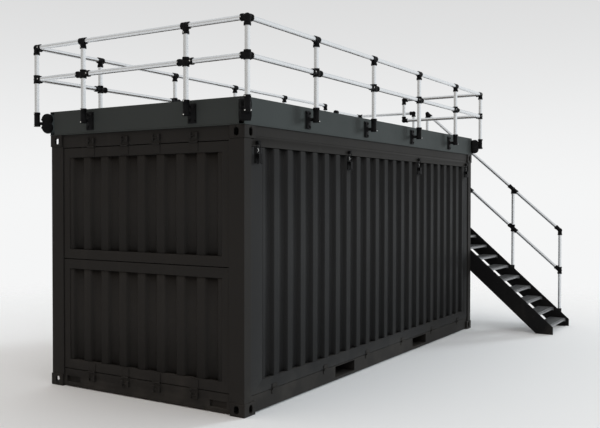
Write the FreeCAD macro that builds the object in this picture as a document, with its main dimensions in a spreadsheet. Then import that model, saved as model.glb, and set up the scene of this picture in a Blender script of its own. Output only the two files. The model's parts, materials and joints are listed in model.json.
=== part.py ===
"""Twenty-foot container with opening walls, a roof terrace, a tube guardrail and an access stair.

Frame: origin at the centre of the four bottom corner castings, on the plane they stand on.
+X points to the stair end, +Y to the fixed long wall, +Z up. Millimetres.
"""
import FreeCAD
import Part
import os
import re
import Sketcher

X_AXIS = FreeCAD.Vector(1, 0, 0)
Y_AXIS = FreeCAD.Vector(0, 1, 0)
Z_AXIS = FreeCAD.Vector(0, 0, 1)

DIMENSIONS = {
    # outer size of the container and its corner castings
    "body_length": 6058, "body_width": 2438, "body_height": 2591,
    "casting_length": 178, "casting_width": 162, "casting_height": 118,
    "casting_face": 28, "casting_side": 12,
    "lock_spacing_x": 5853, "lock_spacing_y": 2259,
    "lock_slot": 124, "lock_radius": 31.75, "eye_height": 79, "eye_radius": 25.5,
    # corner posts
    "post_inset": 8, "post_length": 117, "post_width": 166, "post_wall": 6,
    # rails, sills and headers; an inset is measured inwards from the outer size
    "rail_lift": 12, "rail_inset": 22, "rail_depth": 60, "rail_top": 165, "rail_plate": 6,
    "sill_depth": 120, "sill_top": 185, "sill_notch_width": 190, "sill_notch_low": 50,
    "sill_notch_high": 112, "sill_notch_depth": 30, "sill_notch_gap": 47,
    "roof_rail_inset": 14, "roof_rail_low": 2500, "flange_inset": 18, "flange_low": 2405,
    "flange_plate": 12, "flange_split": 2470, "header_low": 2459,
    # floor
    "fork_centre": 1053, "fork_width": 450, "fork_low": 38, "fork_height": 115, "fork_plate": 5,
    "member_pitch": 385, "member_width": 45, "member_low": 43, "member_plate": 5,
    "floor_board": 28, "floor_panel_length": 1153, "floor_panel_gap": 2, "floor_half_width": 1130,
    # corrugated sheet
    "panel_inset": 20, "sheet_plate": 3, "rib_depth": 36, "rib_slope": 24, "sheet_step": 5,
    "side_rib_pitch": 246.3, "side_rib_flat": 101, "side_rib_count": 22, "side_half_length": 2899,
    "end_rib_pitch": 240, "end_rib_flat": 98, "end_rib_count": 8, "flap_half_width": 1040,
    # opening panels
    "frame_depth": 50, "frame_plate": 5, "wall_low": 170, "wall_bar_top": 285, "wall_high": 2401,
    "top_bar": 60, "top_bar_depth": 50,
    "flap_low": 193, "flap_split_low": 1316, "flap_split_high": 1324, "flap_high": 2451, "flap_bar": 95,
    # barrel hinges
    "barrel_inset": 10, "barrel_radius": 8, "pin_radius": 3.5, "pin_play": 0.4,
    "leaf_plate": 6, "leaf_reach": 88, "side_leaf_reach": 46, "leaf_start": 9.5,
    "knuckle": 30, "knuckle_play": 1,
    "hinge_near": 200, "hinge_far": 650, "side_hinge_pitch": 1000,
    "side_hinge_height": 167.5, "lower_hinge_height": 189, "upper_hinge_height": 2455,
    "lug_width": 96, "lug_height": 56, "lug_height_above": 61, "lug_depth": 18, "lug_ear": 22,
    "lug_base": 3, "lug_pin": 4.5,
    # draw latches; heights above the ground, and stand-offs from the wall's face
    "latch_far": 2800, "latch_near": 985, "latch_low": 2252, "latch_high": 2398, "latch_width": 70,
    "latch_plate": 6, "pivot_height": 2330, "pivot_off": 24, "pivot_radius": 4,
    "cheek_in": 8, "cheek_out": 15, "cheek_radius": 7.5,
    "ear_in": 18, "ear_out": 24, "lever_half": 25, "lever_foot_half": 41, "lever_off": 32.5, "lever_plate": 7,
    "bail_half": 31, "bail_radius": 3.2, "bail_arm": 25, "bail_off": 22, "bail_top": 2456,
    "keeper_half": 22, "keeper_low": 2422, "keeper_depth": 30,
    "clip_low": 2355, "clip_step": 16, "clip_half": 9, "clip_depth": 9,
    # parapet and deck
    "parapet_height": 244, "parapet_plate": 5, "parapet_flange": 60, "lip_height": 8, "lip_out": 4,
    "deck_opening": -60, "joist_width": 60, "joist_height": 40, "joist_pitch": 535, "joist_half": 1157,
    "deck_plate": 25, "deck_board_width": 148, "deck_board_gap": 6, "deck_half_length": 2962,
    "roof_sheet_height": 2540, "roof_rib_pitch": 209, "roof_rib_flat": 80, "roof_rib_depth": 20,
    # guardrail
    "tube_radius": 24.15, "tube_wall": 3.2, "rail_offset": 95, "top_rail_height": 3495,
    "mid_rail_height": 3170, "right_first": 1211, "right_pitch": 1319, "left_first": 928,
    "left_pitch": 1333, "near_half": 645, "return_y": -93,
    "sleeve_radius": 29.5, "sleeve_play": 0.4, "bore_over": 15,
    "collar_radius": 33, "collar_length": 22, "ball_radius": 34,
    "arm": 62, "long_arm": 84, "boss_radius": 9, "boss_height": 37,
    "screw_radius": 6.5, "screw_height": 3.5,
    "socket_floor": 7, "bracket_low": 2683, "bracket_high": 2828,
    "bracket_arm_height": 2715, "bracket_arm_radius": 17,
    "flange_width": 92, "flange_height": 178, "flange_centre": 2712, "flange_thick": 10,
    "hub_radius": 30, "hub_depth": 24,
    "corner_lobe": 58, "corner_lobe_rise": 42, "corner_lobe_width": 96, "corner_lobe_out": 28,
    # stair and landing
    "stair_gap": 6, "stair_width": 1000, "stair_rise": 154.4, "stair_going": 173.5, "nose_y": -2355,
    "nose_height": 118, "stair_foot_y": -2403, "stringer_depth": 237, "stringer_plate": 10,
    "stringer_over": 36, "stringer_toe": 105, "tread_depth": 235, "tread_bar": 5, "tread_height": 32,
    "tread_end_plate": 6, "tread_nose": 28, "landing_level": 15, "landing_back": 1195,
    "landing_beam": 120, "landing_plate": 8, "leg_size": 60, "leg_back": 75, "leg_cap": 6,
    "leg_foot": 130, "foot_plate": 10,
    "angle_size": 60, "angle_plate": 8,
    "stair_post_first": -2253, "stair_post_pitch": 715, "stair_rail_rise": 1244, "stair_mid_drop": 615,
    "handrail_out": 40, "landing_post_y": 136, "landing_corner_y": 1157, "landing_rail_height": 3385,
    "landing_mid_height": 2905, "landing_inner_gap": 150, "socket_height": 150,
}

FLIP = {"x": X_AXIS, "y": Y_AXIS, "z": Z_AXIS}
nodes = []


# ---------------------------------------------------------------- document and sheet
doc = FreeCAD.newDocument("container_terrace")
dims = doc.addObject("Spreadsheet::Sheet", "Dims")
for row, (alias, value) in enumerate(DIMENSIONS.items(), start=1):
    dims.set(f"A{row}", alias)
    dims.set(f"B{row}", str(value))
    dims.setAlias(f"B{row}", alias)
doc.recompute()


def linked(text):
    """Prefix each alias in an expression with the sheet's name."""
    return re.sub(r"[a-z_]{3,}", lambda m: f"Dims.{m[0]}" if m[0] in DIMENSIONS else m[0], str(text))


def value_of(text):
    """The number that an expression gives now."""
    return float(dims.evalExpression(linked(text)))


def bind(obj, **properties):
    """Bind properties to expressions; x, y and z mean the placement's base."""
    for name, text in properties.items():
        path = f"Placement.Base.{name}" if name in "xyz" else name
        obj.setExpression(path, linked(text))
    return obj


# ---------------------------------------------------------------- primitives and booleans
def box(x, y, z):
    """A box from its low and high limits along each axis."""
    piece = doc.addObject("Part::Box", "Box")
    bind(piece, Length=f"({x[1]}) - ({x[0]})", Width=f"({y[1]}) - ({y[0]})", Height=f"({z[1]}) - ({z[0]})")
    return bind(piece, x=x[0], y=y[0], z=z[0])


def rod(radius, length, at, axis="z"):
    """A cylinder that runs from a point along a row axis."""
    piece = doc.addObject("Part::Cylinder", "Cylinder")
    turns = {"x": FreeCAD.Rotation(Y_AXIS, 90), "y": FreeCAD.Rotation(X_AXIS, -90), "z": FreeCAD.Rotation()}
    piece.Placement.Rotation = turns[axis]
    return bind(piece, Radius=radius, Height=length, x=at[0], y=at[1], z=at[2])


def sloped_rod(radius, length, at):
    """A cylinder from a point up the stair's slope, towards +Y."""
    piece = doc.addObject("Part::Cylinder", "Cylinder")
    piece.Placement.Rotation = FreeCAD.Rotation(FreeCAD.Vector(-1, 0, 0), 45)
    bind(piece, Radius=radius, Height=length, x=at[0], y=at[1], z=at[2])
    piece.setExpression("Placement.Rotation.Angle", linked("90 deg - atan(stair_rise / stair_going)"))
    return piece


def ball(radius, at):
    piece = doc.addObject("Part::Sphere", "Sphere")
    return bind(piece, Radius=radius, x=at[0], y=at[1], z=at[2])


def fuse(*pieces):
    union = doc.addObject("Part::MultiFuse", "Fusion")
    union.Shapes = list(pieces)
    union.Refine = True
    return union


def cut(base, *tools):
    """Base less its tools; every tool has to take some material away."""
    result = doc.addObject("Part::Cut", "Cut")
    result.Base = base
    result.Tool = tools[0] if len(tools) == 1 else fuse(*tools)
    return result


def mirrored(piece, axis, height="0"):
    """A mirror image across the plane through the origin, or through a height for axis z."""
    image = doc.addObject("Part::Mirroring", "Mirror")
    image.Source = piece
    image.Normal = FLIP[axis]
    image.Base = FreeCAD.Vector(0, 0, value_of(height))
    return image


def group(pieces):
    """Several separate solids under one object."""
    compound = doc.addObject("Part::Compound", "Group")
    compound.Links = list(pieces)
    return compound


def moved(piece, x="0", y="0", z="0"):
    """A copy of a piece, shifted."""
    shifted = group([piece])
    return bind(shifted, x=x, y=y, z=z)


def node(label, piece):
    """Name a finished sub-part; its label is its file's name."""
    piece.Label = label
    nodes.append(piece)
    return piece


def both_sides(piece, axis):
    return [piece, mirrored(piece, axis)]


def four_corners(piece):
    """A piece in the +X +Y corner and its images in the other three."""
    along = both_sides(piece, "x")
    return along + [mirrored(item, "y") for item in along]


def slab(plane, points, thickness, **base):
    """A PartDesign body: a straight-sided outline on an origin plane, padded along its normal."""
    body = doc.addObject("PartDesign::Body", "Body")
    sketch = body.newObject("Sketcher::SketchObject", "Outline")
    sketch.AttachmentSupport = [(origin_feature(body, plane), "")]
    sketch.MapMode = "FlatFace"
    draw_outline(sketch, points)
    pad = body.newObject("PartDesign::Pad", "Pad")
    pad.Profile = sketch
    pad.setExpression("Length", linked(thickness))
    bind(body, **base)
    return body


def origin_feature(body, role):
    return next(item for item in body.Origin.OriginFeatures if item.Role == role)


def draw_outline(sketch, points):
    """Closed polygon whose corners are dimensioned from the sketch's origin."""
    corners = [(value_of(u), value_of(v)) for u, v in points]
    count = len(points)
    for i, (u, v) in enumerate(corners):
        after = corners[(i + 1) % count]
        line = Part.LineSegment(FreeCAD.Vector(u, v, 0), FreeCAD.Vector(after[0], after[1], 0))
        sketch.addGeometry(line)
    for i in range(count):
        sketch.addConstraint(Sketcher.Constraint("Coincident", i, 2, (i + 1) % count, 1))
    for i, corner in enumerate(corners):
        for kind, number, text in zip(("DistanceX", "DistanceY"), corner, points[i]):
            index = sketch.addConstraint(Sketcher.Constraint(kind, -1, 1, i, 1, number))
            sketch.setExpression(f"Constraints[{index}]", linked(text))


def corrugated(pitch, flat, depth, count, height, **base):
    """Corrugated sheet: one rib padded upwards and repeated along X; outer flats at y = 0."""
    half_flat = f"{flat} / 2"
    foot = f"{flat} / 2 + rib_slope"
    crest = f"{pitch} / 2"
    front = [(f"-({crest})", "0"), (f"-({crest}) + {half_flat}", "0"), (f"-({crest}) + {foot}", depth),
             (f"{crest} - ({foot})", depth), (f"{crest} - {half_flat}", "0"), (crest, "0")]
    back = [(u, f"{v} + sheet_plate") for u, v in reversed(front)]
    body = slab("XY_Plane", front + back, height)
    rib = body.Tip
    row = body.newObject("PartDesign::LinearPattern", "Ribs")
    row.Originals = [rib]
    row.Direction = (origin_feature(body, "X_Axis"), [""])
    row.Occurrences = int(value_of(count))
    row.setExpression("Occurrences", linked(count))
    row.setExpression("Length", linked(f"{pitch} * ({count} - 1)"))
    body.Tip = row
    return bind(body, **base)


# ---------------------------------------------------------------- container frame
def slot_cutter(axis, at, half_long, radius, depth, long_axis):
    """A stadium-shaped cutter through a casting's face; its straight part runs along long_axis."""
    run = f"({half_long}) - ({radius})"
    low = {a: at[i] for i, a in enumerate("xyz")}
    limits = {a: (f"{low[a]} - ({radius})", f"{low[a]} + ({radius})") for a in "xyz"}
    limits[axis] = (low[axis], f"{low[axis]} + {depth}")
    limits[long_axis] = (f"{low[long_axis]} - ({run})", f"{low[long_axis]} + {run}")
    pieces = [box(limits["x"], limits["y"], limits["z"])]
    for sign in ("-", "+"):
        end = [f"{low[a]} {sign} ({run})" if a == long_axis else low[a] for a in "xyz"]
        pieces.append(rod(radius, depth, end, axis))
    return pieces


def corner_castings():
    end, side, top = "body_length / 2", "body_width / 2", "casting_height"
    outer = box((f"{end} - casting_length", end), (f"{side} - casting_width", side), ("0", top))
    inner = box((f"{end} - casting_length + casting_side", f"{end} - casting_side"),
                (f"{side} - casting_width + casting_side", f"{side} - casting_side"),
                ("casting_face", f"{top} - casting_face"))
    lock = slot_cutter("z", ("lock_spacing_x / 2", "lock_spacing_y / 2", "-1"), "lock_slot / 2",
                       "lock_radius", "casting_face + 2", "x")
    side_eye = slot_cutter("y", ("lock_spacing_x / 2", f"{side} - casting_side - 1", f"{top} / 2"),
                           "eye_height / 2", "eye_radius", "casting_side + 2", "z")
    end_eye = slot_cutter("x", (f"{end} - casting_side - 1", "lock_spacing_y / 2", f"{top} / 2"),
                          "eye_height / 2", "eye_radius", "casting_side + 2", "z")
    casting = cut(outer, inner, *lock, *side_eye, *end_eye)
    node("bottom_corner_castings", group(four_corners(casting)))
    upper = mirrored(casting, "z", "body_height / 2")
    node("top_corner_castings", group(four_corners(upper)))


def corner_posts():
    x_high, y_high = "body_length / 2 - post_inset", "body_width / 2 - post_inset"
    height = ("casting_height", "body_height - casting_height")
    outer = box((f"{x_high} - post_length", x_high), (f"{y_high} - post_width", y_high), height)
    inner = box((f"{x_high} - post_length + post_wall", f"{x_high} - post_wall"),
                (f"{y_high} - post_width + post_wall", f"{y_high} - post_wall"),
                (f"{height[0]} - 1", f"{height[1]} + 1"))
    node("corner_posts", group(four_corners(cut(outer, inner))))


def bottom_side_rails():
    """Channels open to the inside, in lengths welded to a bridge over and under each fork pocket's mouth."""
    face, back = "-(body_width / 2 - rail_inset)", "-(body_width / 2 - rail_inset - rail_depth)"
    between = "body_length / 2 - casting_length"
    over = "body_length / 2 - post_inset - post_length"
    lower = box((f"-({between})", between), (face, back), ("rail_lift", "casting_height"))
    upper = box((f"-({over})", over), (face, back), ("casting_height", "rail_top"))
    hollow = box((f"-({over})", over), (f"{face} + rail_plate", f"{back} + 1"),
                 ("rail_lift + rail_plate", "rail_top - rail_plate"))
    gaps, bridges = [], []
    for side in ("-", ""):
        across = (f"{side}fork_centre - fork_width / 2", f"{side}fork_centre + fork_width / 2")
        gaps.append(box(across, (f"{face} - 1", f"{back} + 1"), ("rail_lift - 1", "rail_top + 1")))
        for low, high in (("rail_lift", "fork_low"), ("fork_low + fork_height", "rail_top")):
            recess = box((f"{across[0]} - 1", f"{across[1]} + 1"), (f"{face} + rail_plate", f"{back} + 1"),
                         ("rail_lift + rail_plate", "rail_top - rail_plate"))
            bridges.append(cut(box(across, (face, back), (low, high)), recess))
    lengths = cut(fuse(lower, upper), hollow, *gaps)
    node("bottom_side_rails", group(both_sides(group([lengths] + bridges), "y")))


def end_sills():
    face, back = "-(body_length / 2 - rail_inset)", "-(body_length / 2 - rail_inset - sill_depth)"
    between = "body_width / 2 - casting_width"
    over = "body_width / 2 - post_inset - post_width"
    casting_back = "-(body_length / 2 - casting_length)"
    lower = box((face, back), (f"-({between})", between), ("rail_lift", "casting_height"))
    upper = box((face, back), (f"-({over})", over), ("casting_height", "sill_top"))
    hollow = box((f"{face} + sill_notch_depth + rail_plate", f"{back} + 1"), (f"-({over})", over),
                 ("rail_lift + rail_plate", "sill_top - rail_plate"))
    notch = box((f"{face} - 1", f"{face} + sill_notch_depth"),
                (f"{between} - sill_notch_gap - sill_notch_width", f"{between} - sill_notch_gap"),
                ("sill_notch_low", "sill_notch_high"))
    sill = cut(fuse(lower, upper), hollow, *both_sides(notch, "y"))
    node("end_sills", group(both_sides(sill, "x")))


def top_side_rails():
    """A tube under the parapet with a plate flange below it, set back a little."""
    between = "body_length / 2 - casting_length"
    over = "body_length / 2 - post_inset - post_length - 3"
    face, back = "-(body_width / 2 - roof_rail_inset)", "-(body_width / 2 - roof_rail_inset - rail_depth)"
    plate = ("-(body_width / 2 - flange_inset)", "-(body_width / 2 - flange_inset - flange_plate)")
    tube = box((f"-({between})", between), (face, back), ("roof_rail_low", "body_height"))
    bore = box((f"-({between}) - 1", f"{between} + 1"), (f"{face} + rail_plate", f"{back} - rail_plate"),
               ("roof_rail_low + rail_plate", "body_height - rail_plate"))
    upper = box((f"-({between})", between), plate, ("flange_split", "roof_rail_low"))
    lower = box((f"-({over})", over), plate, ("flange_low", "flange_split"))
    rail = fuse(cut(tube, bore), upper, lower)
    node("top_side_rails", group(both_sides(rail, "y")))


def end_headers():
    face, back = "-(body_length / 2 - rail_inset)", "-(body_length / 2 - rail_inset - rail_depth)"
    between = "body_width / 2 - casting_width"
    over = "body_width / 2 - post_inset - post_width"
    base = "body_height - casting_height"
    upper = box((face, back), (f"-({between})", between), (base, "body_height"))
    lower = box((face, back), (f"-({over})", over), ("header_low", base))
    hollow = box((f"{face} + rail_plate", f"{back} + 1"), (f"-({over})", over),
                 ("header_low + rail_plate", "body_height - rail_plate"))
    header = cut(fuse(upper, lower), hollow)
    node("end_headers", group(both_sides(header, "x")))


# ---------------------------------------------------------------- floor
def floor():
    edge = "body_width / 2 - rail_inset - rail_depth"
    clear = value_of("fork_width / 2 + member_width / 2 + fork_plate")
    members = []
    for k in range(-7, 8):
        centre = f"{k} * member_pitch"
        if abs(abs(value_of(centre)) - value_of("fork_centre")) > clear:
            bar = box((f"{centre} - member_width / 2", f"{centre} + member_width / 2"),
                      (f"-({edge})", edge), ("member_low", "rail_top"))
            hollow = box((f"{centre} - member_width / 2 + member_plate", f"{centre} + member_width"),
                         (f"-({edge})", edge), ("member_low + member_plate", "rail_top - member_plate"))
            members.append(cut(bar, hollow))
    node("floor_cross_members", group(members))
    web = "body_width / 2 - rail_inset - rail_plate"
    channels = []
    for side in ("-", ""):
        left, right = f"{side}fork_centre - fork_width / 2", f"{side}fork_centre + fork_width / 2"
        low, high, along = "fork_low", "fork_low + fork_height", (f"-({web})", web)
        across = (f"{left} - fork_plate", f"{right} + fork_plate")
        channels += [box((across[0], left), along, (low, high)),
                     box((right, across[1]), along, (low, high)),
                     box(across, along, (f"{low} - fork_plate", low)),
                     box(across, along, (high, f"{high} + fork_plate"))]
    node("fork_pocket_channels", group(channels))
    step = "(floor_panel_length + floor_panel_gap)"
    boards = [box((f"{k} * {step} - floor_panel_length / 2", f"{k} * {step} + floor_panel_length / 2"),
                  ("-floor_half_width", "floor_half_width"), ("rail_top", "rail_top + floor_board"))
              for k in range(-2, 3)]
    node("floor_boards", group(boards))


# ---------------------------------------------------------------- fixed sheets
def left_wall():
    run = "side_rib_pitch * side_rib_count / 2"
    height = "flange_low - rail_top"
    sheet = corrugated("side_rib_pitch", "side_rib_flat", "rib_depth", "side_rib_count", height,
                       x=f"-({run}) + side_rib_pitch / 2", y="-(body_width / 2 - panel_inset)", z="rail_top")
    ends = [box(limits, ("-(body_width / 2 - panel_inset)", "-(body_width / 2 - panel_inset - leaf_plate)"),
                ("rail_top", "flange_low"))
            for limits in (("-side_half_length", f"-({run})"), (run, "side_half_length"))]
    node("left_wall_sheet", mirrored(fuse(sheet, *ends), "y"))


def end_sheet(low, high, step="0"):
    """Corrugated sheet across the near end, its outer flats a step behind the panel's face."""
    run = "end_rib_pitch * end_rib_count / 2"
    sheet = corrugated("end_rib_pitch", "end_rib_flat", f"rib_depth - {step}", "end_rib_count",
                       f"({high}) - ({low})",
                       x=f"-(body_length / 2 - panel_inset - {step})", y=f"{run} - end_rib_pitch / 2", z=low)
    sheet.Placement.Rotation = FreeCAD.Rotation(Z_AXIS, -90)
    return sheet


def far_end_wall():
    sheet = end_sheet("sill_top", "header_low")
    run, over = "end_rib_pitch * end_rib_count / 2", "body_width / 2 - post_inset - post_width"
    face = ("-(body_length / 2 - panel_inset)", "-(body_length / 2 - panel_inset - leaf_plate)")
    ends = both_sides(box(face, (run, over), ("sill_top", "header_low")), "y")
    node("far_end_wall_sheet", mirrored(fuse(sheet, *ends), "x"))


def roof_sheet():
    inner = "body_length / 2 - rail_inset - rail_depth"
    edge = "(body_width / 2 - roof_rail_inset - rail_depth)"
    half = "roof_rib_pitch * 28 / 2"
    sheet = corrugated("roof_rib_pitch", "roof_rib_flat", "roof_rib_depth", "28",
                       f"2 * {edge}", x=f"-({half}) + roof_rib_pitch / 2", y=edge, z="roof_sheet_height")
    sheet.Placement.Rotation = FreeCAD.Rotation(X_AXIS, 90)
    end = box((half, inner), (f"-{edge}", edge), ("roof_sheet_height", "roof_sheet_height + sheet_plate"))
    corner = box(("body_length / 2 - casting_length - 1", "body_length / 2"),
                 ("body_width / 2 - casting_width - 1", "body_width / 2"),
                 ("roof_sheet_height - 1", "roof_sheet_height + roof_rib_depth + sheet_plate + 1"))
    node("roof_sheet", cut(fuse(sheet, *both_sides(end, "x")), *four_corners(corner)))


# ---------------------------------------------------------------- opening panels
def pan(outer, opening, pockets):
    """A welded frame of open-backed bars: a block less its opening and the bars' hollows."""
    return cut(box(*outer), box(*opening), *[box(*pocket) for pocket in pockets])


def end_flap(name, low, high):
    face = "-(body_length / 2 - panel_inset)"
    side, run = "flap_half_width", "end_rib_pitch * end_rib_count / 2"
    depth = (face, f"{face} + frame_depth")
    through = (f"{face} - 1", f"{face} + frame_depth + 1")
    hollow = (f"{face} + frame_plate", f"{face} + frame_depth + 1")
    bar_low, bar_high = f"{low} + flap_bar", f"{high} - flap_bar"
    inset = "frame_plate"
    pockets = [(hollow, (f"-({run})", run), (f"{low} + {inset}", f"{bar_low} - {inset}")),
               (hollow, (f"-({run})", run), (f"{bar_high} + {inset}", f"{high} - {inset}")),
               (hollow, (f"-{side} + {inset}", f"-({run}) - {inset}"), (bar_low, bar_high)),
               (hollow, (f"{run} + {inset}", f"{side} - {inset}"), (bar_low, bar_high))]
    frame = pan((depth, (f"-{side}", side), (low, high)),
                (through, (f"-({run})", run), (bar_low, bar_high)), pockets)
    node(f"{name}_frame", frame)
    node(f"{name}_sheet", end_sheet(bar_low, bar_high, "sheet_step"))


def side_wall():
    """Fold-down long wall; its top bar lies behind the corrugated sheet."""
    face = "-(body_width / 2 - panel_inset)"
    end, run = "side_half_length", "side_rib_pitch * side_rib_count / 2"
    depth = (face, f"{face} + frame_depth")
    hollow = (f"{face} + frame_plate", f"{face} + frame_depth + 1")
    inset = "frame_plate"
    pieces = []
    for limits in ((f"-{end}", f"-({run})"), (run, end)):
        bar = box(limits, depth, ("wall_low", "wall_high"))
        pocket = box((f"{limits[0]} + {inset}", f"{limits[1]} - {inset}"), hollow,
                     (f"wall_low + {inset}", f"wall_high - {inset}"))
        pieces.append(cut(bar, pocket))
    foot = box((f"-({run})", run), depth, ("wall_low", "wall_bar_top"))
    gutter = box((f"-({run})", run), hollow, (f"wall_low + {inset}", f"wall_bar_top - {inset}"))
    pieces.append(cut(foot, gutter))
    back = f"{face} + rib_depth + sheet_plate"
    top = box((f"-({run})", run), (back, f"{back} + top_bar_depth"), ("wall_high - top_bar", "wall_high"))
    bore = box((f"-({run}) + {inset}", f"{run} - {inset}"),
               (f"{back} + {inset}", f"{back} + top_bar_depth + 1"),
               (f"wall_high - top_bar + {inset}", f"wall_high - {inset}"))
    pieces.append(cut(top, bore))
    node("side_wall_frame", fuse(*pieces))
    sheet = corrugated("side_rib_pitch", "side_rib_flat", "rib_depth", "side_rib_count",
                       "wall_high - wall_bar_top",
                       x=f"-({run}) + side_rib_pitch / 2", y=face, z="wall_bar_top")
    node("side_wall_sheet", sheet)


# ---------------------------------------------------------------- hinges
def leaf(up, axis_height, segments, plate_off, reach, play):
    """Half a barrel hinge on the near end at y = 0: a plate, and a stub and a knuckle in each segment.

    up is +1 for the half above the barrel and -1 for the half below; plate_off is the plate's inset.
    """
    sign = "+" if up > 0 else "-"
    axle = "-(body_length / 2 - barrel_inset)"
    plate_x = (f"-(body_length / 2 - {plate_off} + leaf_plate)", f"-(body_length / 2 - {plate_off})")
    ends = (f"{axis_height} {sign} leaf_start", f"{axis_height} {sign} {reach}")
    spread = ends if up > 0 else ends[::-1]
    width = "(3 * knuckle / 2)"
    pieces = [box(plate_x, (f"-{width}", width), spread)]
    near = (axis_height, ends[0]) if up > 0 else (ends[0], axis_height)
    for low, high in segments:
        pieces.append(box(plate_x, (low, high), near))
        pieces.append(rod("barrel_radius", f"({high}) - ({low})", (axle, low, axis_height), "y"))
    bore = rod(f"pin_radius + {play}", "4 * knuckle", (axle, "-2 * knuckle", axis_height), "y")
    return cut(fuse(*pieces), bore)


def hinge_set(axis_height, fixed_up, reach="leaf_reach"):
    """Fixed leaf, moving leaf and pin of one hinge of an end flap, at y = 0."""
    outer = [("-3 * knuckle / 2", "-knuckle / 2 - knuckle_play"),
             ("knuckle / 2 + knuckle_play", "3 * knuckle / 2")]
    middle = [("-knuckle / 2", "knuckle / 2")]
    fixed = leaf(fixed_up, axis_height, outer, "rail_inset", reach, "0")
    moving = leaf(-fixed_up, axis_height, middle, "panel_inset", reach, "pin_play")
    start = ("-(body_length / 2 - barrel_inset)", "-3 * knuckle / 2", axis_height)
    pin = rod("pin_radius", "3 * knuckle", start, "y")
    return fixed, moving, pin


def lug(axis_height, sign):
    """Forked lug on a fixed leaf, with a tie pin between its two ears."""
    centre = f"{axis_height} {sign} lug_height_above"
    face = "-(body_length / 2 - rail_inset + leaf_plate)"
    height = (f"{centre} - lug_height / 2", f"{centre} + lug_height / 2")
    block = box((f"{face} - lug_depth", face), ("-lug_width / 2", "lug_width / 2"), height)
    slot = box((f"{face} - lug_depth - 1", f"{face} - lug_base"),
               ("-lug_width / 2 + lug_ear", "lug_width / 2 - lug_ear"),
               (f"{height[0]} - 1", f"{height[1]} + 1"))
    tie = rod("lug_pin", "lug_width - 2", (f"{face} - lug_depth / 2 - 1", "-lug_width / 2 + 1", centre), "y")
    return fuse(cut(block, slot), tie)


def hinges():
    spots = ("-hinge_far", "-hinge_near", "hinge_near", "hinge_far")
    fixed_leaves, pins, lugs = [], [], []
    for name, height, fixed_up in (("upper_flap", "upper_hinge_height", 1),
                                   ("lower_flap", "lower_hinge_height", -1)):
        fixed, moving, pin = hinge_set(height, fixed_up)
        clamp = lug(height, "+" if fixed_up > 0 else "-")
        fixed_leaves += [moved(fixed, y=spot) for spot in spots]
        pins += [moved(pin, y=spot) for spot in spots]
        lugs += [moved(clamp, y=spot) for spot in spots]
        node(f"{name}_hinge_leaves", group([moved(moving, y=spot) for spot in spots]))
    fixed, moving, pin = hinge_set("side_hinge_height", -1, "side_leaf_reach")
    walls = []
    for k in range(-3, 3):
        for piece, store in ((fixed, fixed_leaves), (moving, walls), (pin, pins)):
            store.append(turned_to_side(piece, f"({k} + 0.5) * side_hinge_pitch"))
    node("side_wall_hinge_leaves", group(walls))
    node("hinge_fixed_leaves", group(fixed_leaves))
    node("hinge_pins", group(pins))
    node("hinge_lugs", group(lugs))


def turned_to_side(piece, x):
    """A near-end piece turned to the right long side, at a place along it."""
    turned = group([piece])
    turned.Placement.Rotation = FreeCAD.Rotation(Z_AXIS, 90)
    return bind(turned, x=x, y="body_length / 2 - body_width / 2")


# ---------------------------------------------------------------- draw latches on the right long side
def latch_y(off):
    """Y of a point that stands off the fold-down wall's face."""
    return f"-(body_width / 2 - panel_inset + {off})"


def latches():
    spots = ("-latch_far", "-latch_near", "latch_near", "latch_far")
    flange = "-(body_width / 2 - flange_inset)"
    keeper = box(("-keeper_half", "keeper_half"), (f"{flange} - keeper_depth", flange),
                 ("keeper_low", "bail_top - bail_radius - 0.6"))
    node("latch_keepers", group([moved(keeper, x=spot) for spot in spots]))
    base, pivot = latch_base()
    node("latch_bases", group([moved(base, x=spot) for spot in spots]))
    node("latch_pivot_pins", group([moved(pivot, x=spot) for spot in spots]))
    node("latch_spring_clips", group([moved(spring_clip(), x=spot) for spot in spots]))
    lever, bail = latch_lever(), latch_bail()
    for number, spot in enumerate(spots, start=1):
        node(f"latch_lever_{number}", moved(lever, x=spot))
        node(f"latch_bail_{number}", moved(bail, x=spot))


def latch_base():
    """Back plate with two rounded cheeks, and the pin they carry."""
    plate = box(("-latch_width / 2", "latch_width / 2"), (latch_y("latch_plate"), latch_y("0")),
                ("latch_low", "latch_high"))
    cheeks = []
    for low, high in (("-cheek_out", "-cheek_in"), ("cheek_in", "cheek_out")):
        web = box((low, high), (latch_y("pivot_off"), latch_y("latch_plate")),
                  ("pivot_height - cheek_radius", "pivot_height + cheek_radius"))
        head = rod("cheek_radius", "cheek_out - cheek_in", (low, latch_y("pivot_off"), "pivot_height"), "x")
        cheeks += [web, head]
    hole = rod("pivot_radius", "4 * cheek_out", ("-2 * cheek_out", latch_y("pivot_off"), "pivot_height"), "x")
    pin = rod("pivot_radius", "2 * ear_out + 2", ("-ear_out - 1", latch_y("pivot_off"), "pivot_height"), "x")
    return cut(fuse(plate, *cheeks), hole), pin


def spring_clip():
    """Bright bent strip on the back plate, inside the bail."""
    points = [("-clip_half", "clip_low"), ("clip_half / 2", "clip_low + clip_step"),
              ("-clip_half", "clip_low + 2 * clip_step"), ("-clip_half / 3", "clip_low + 2 * clip_step + 3"),
              ("clip_half", "clip_low + clip_step"), ("-clip_half / 2", "clip_low")]
    return slab("XZ_Plane", points, "clip_depth", y=latch_y("latch_plate"))


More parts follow.
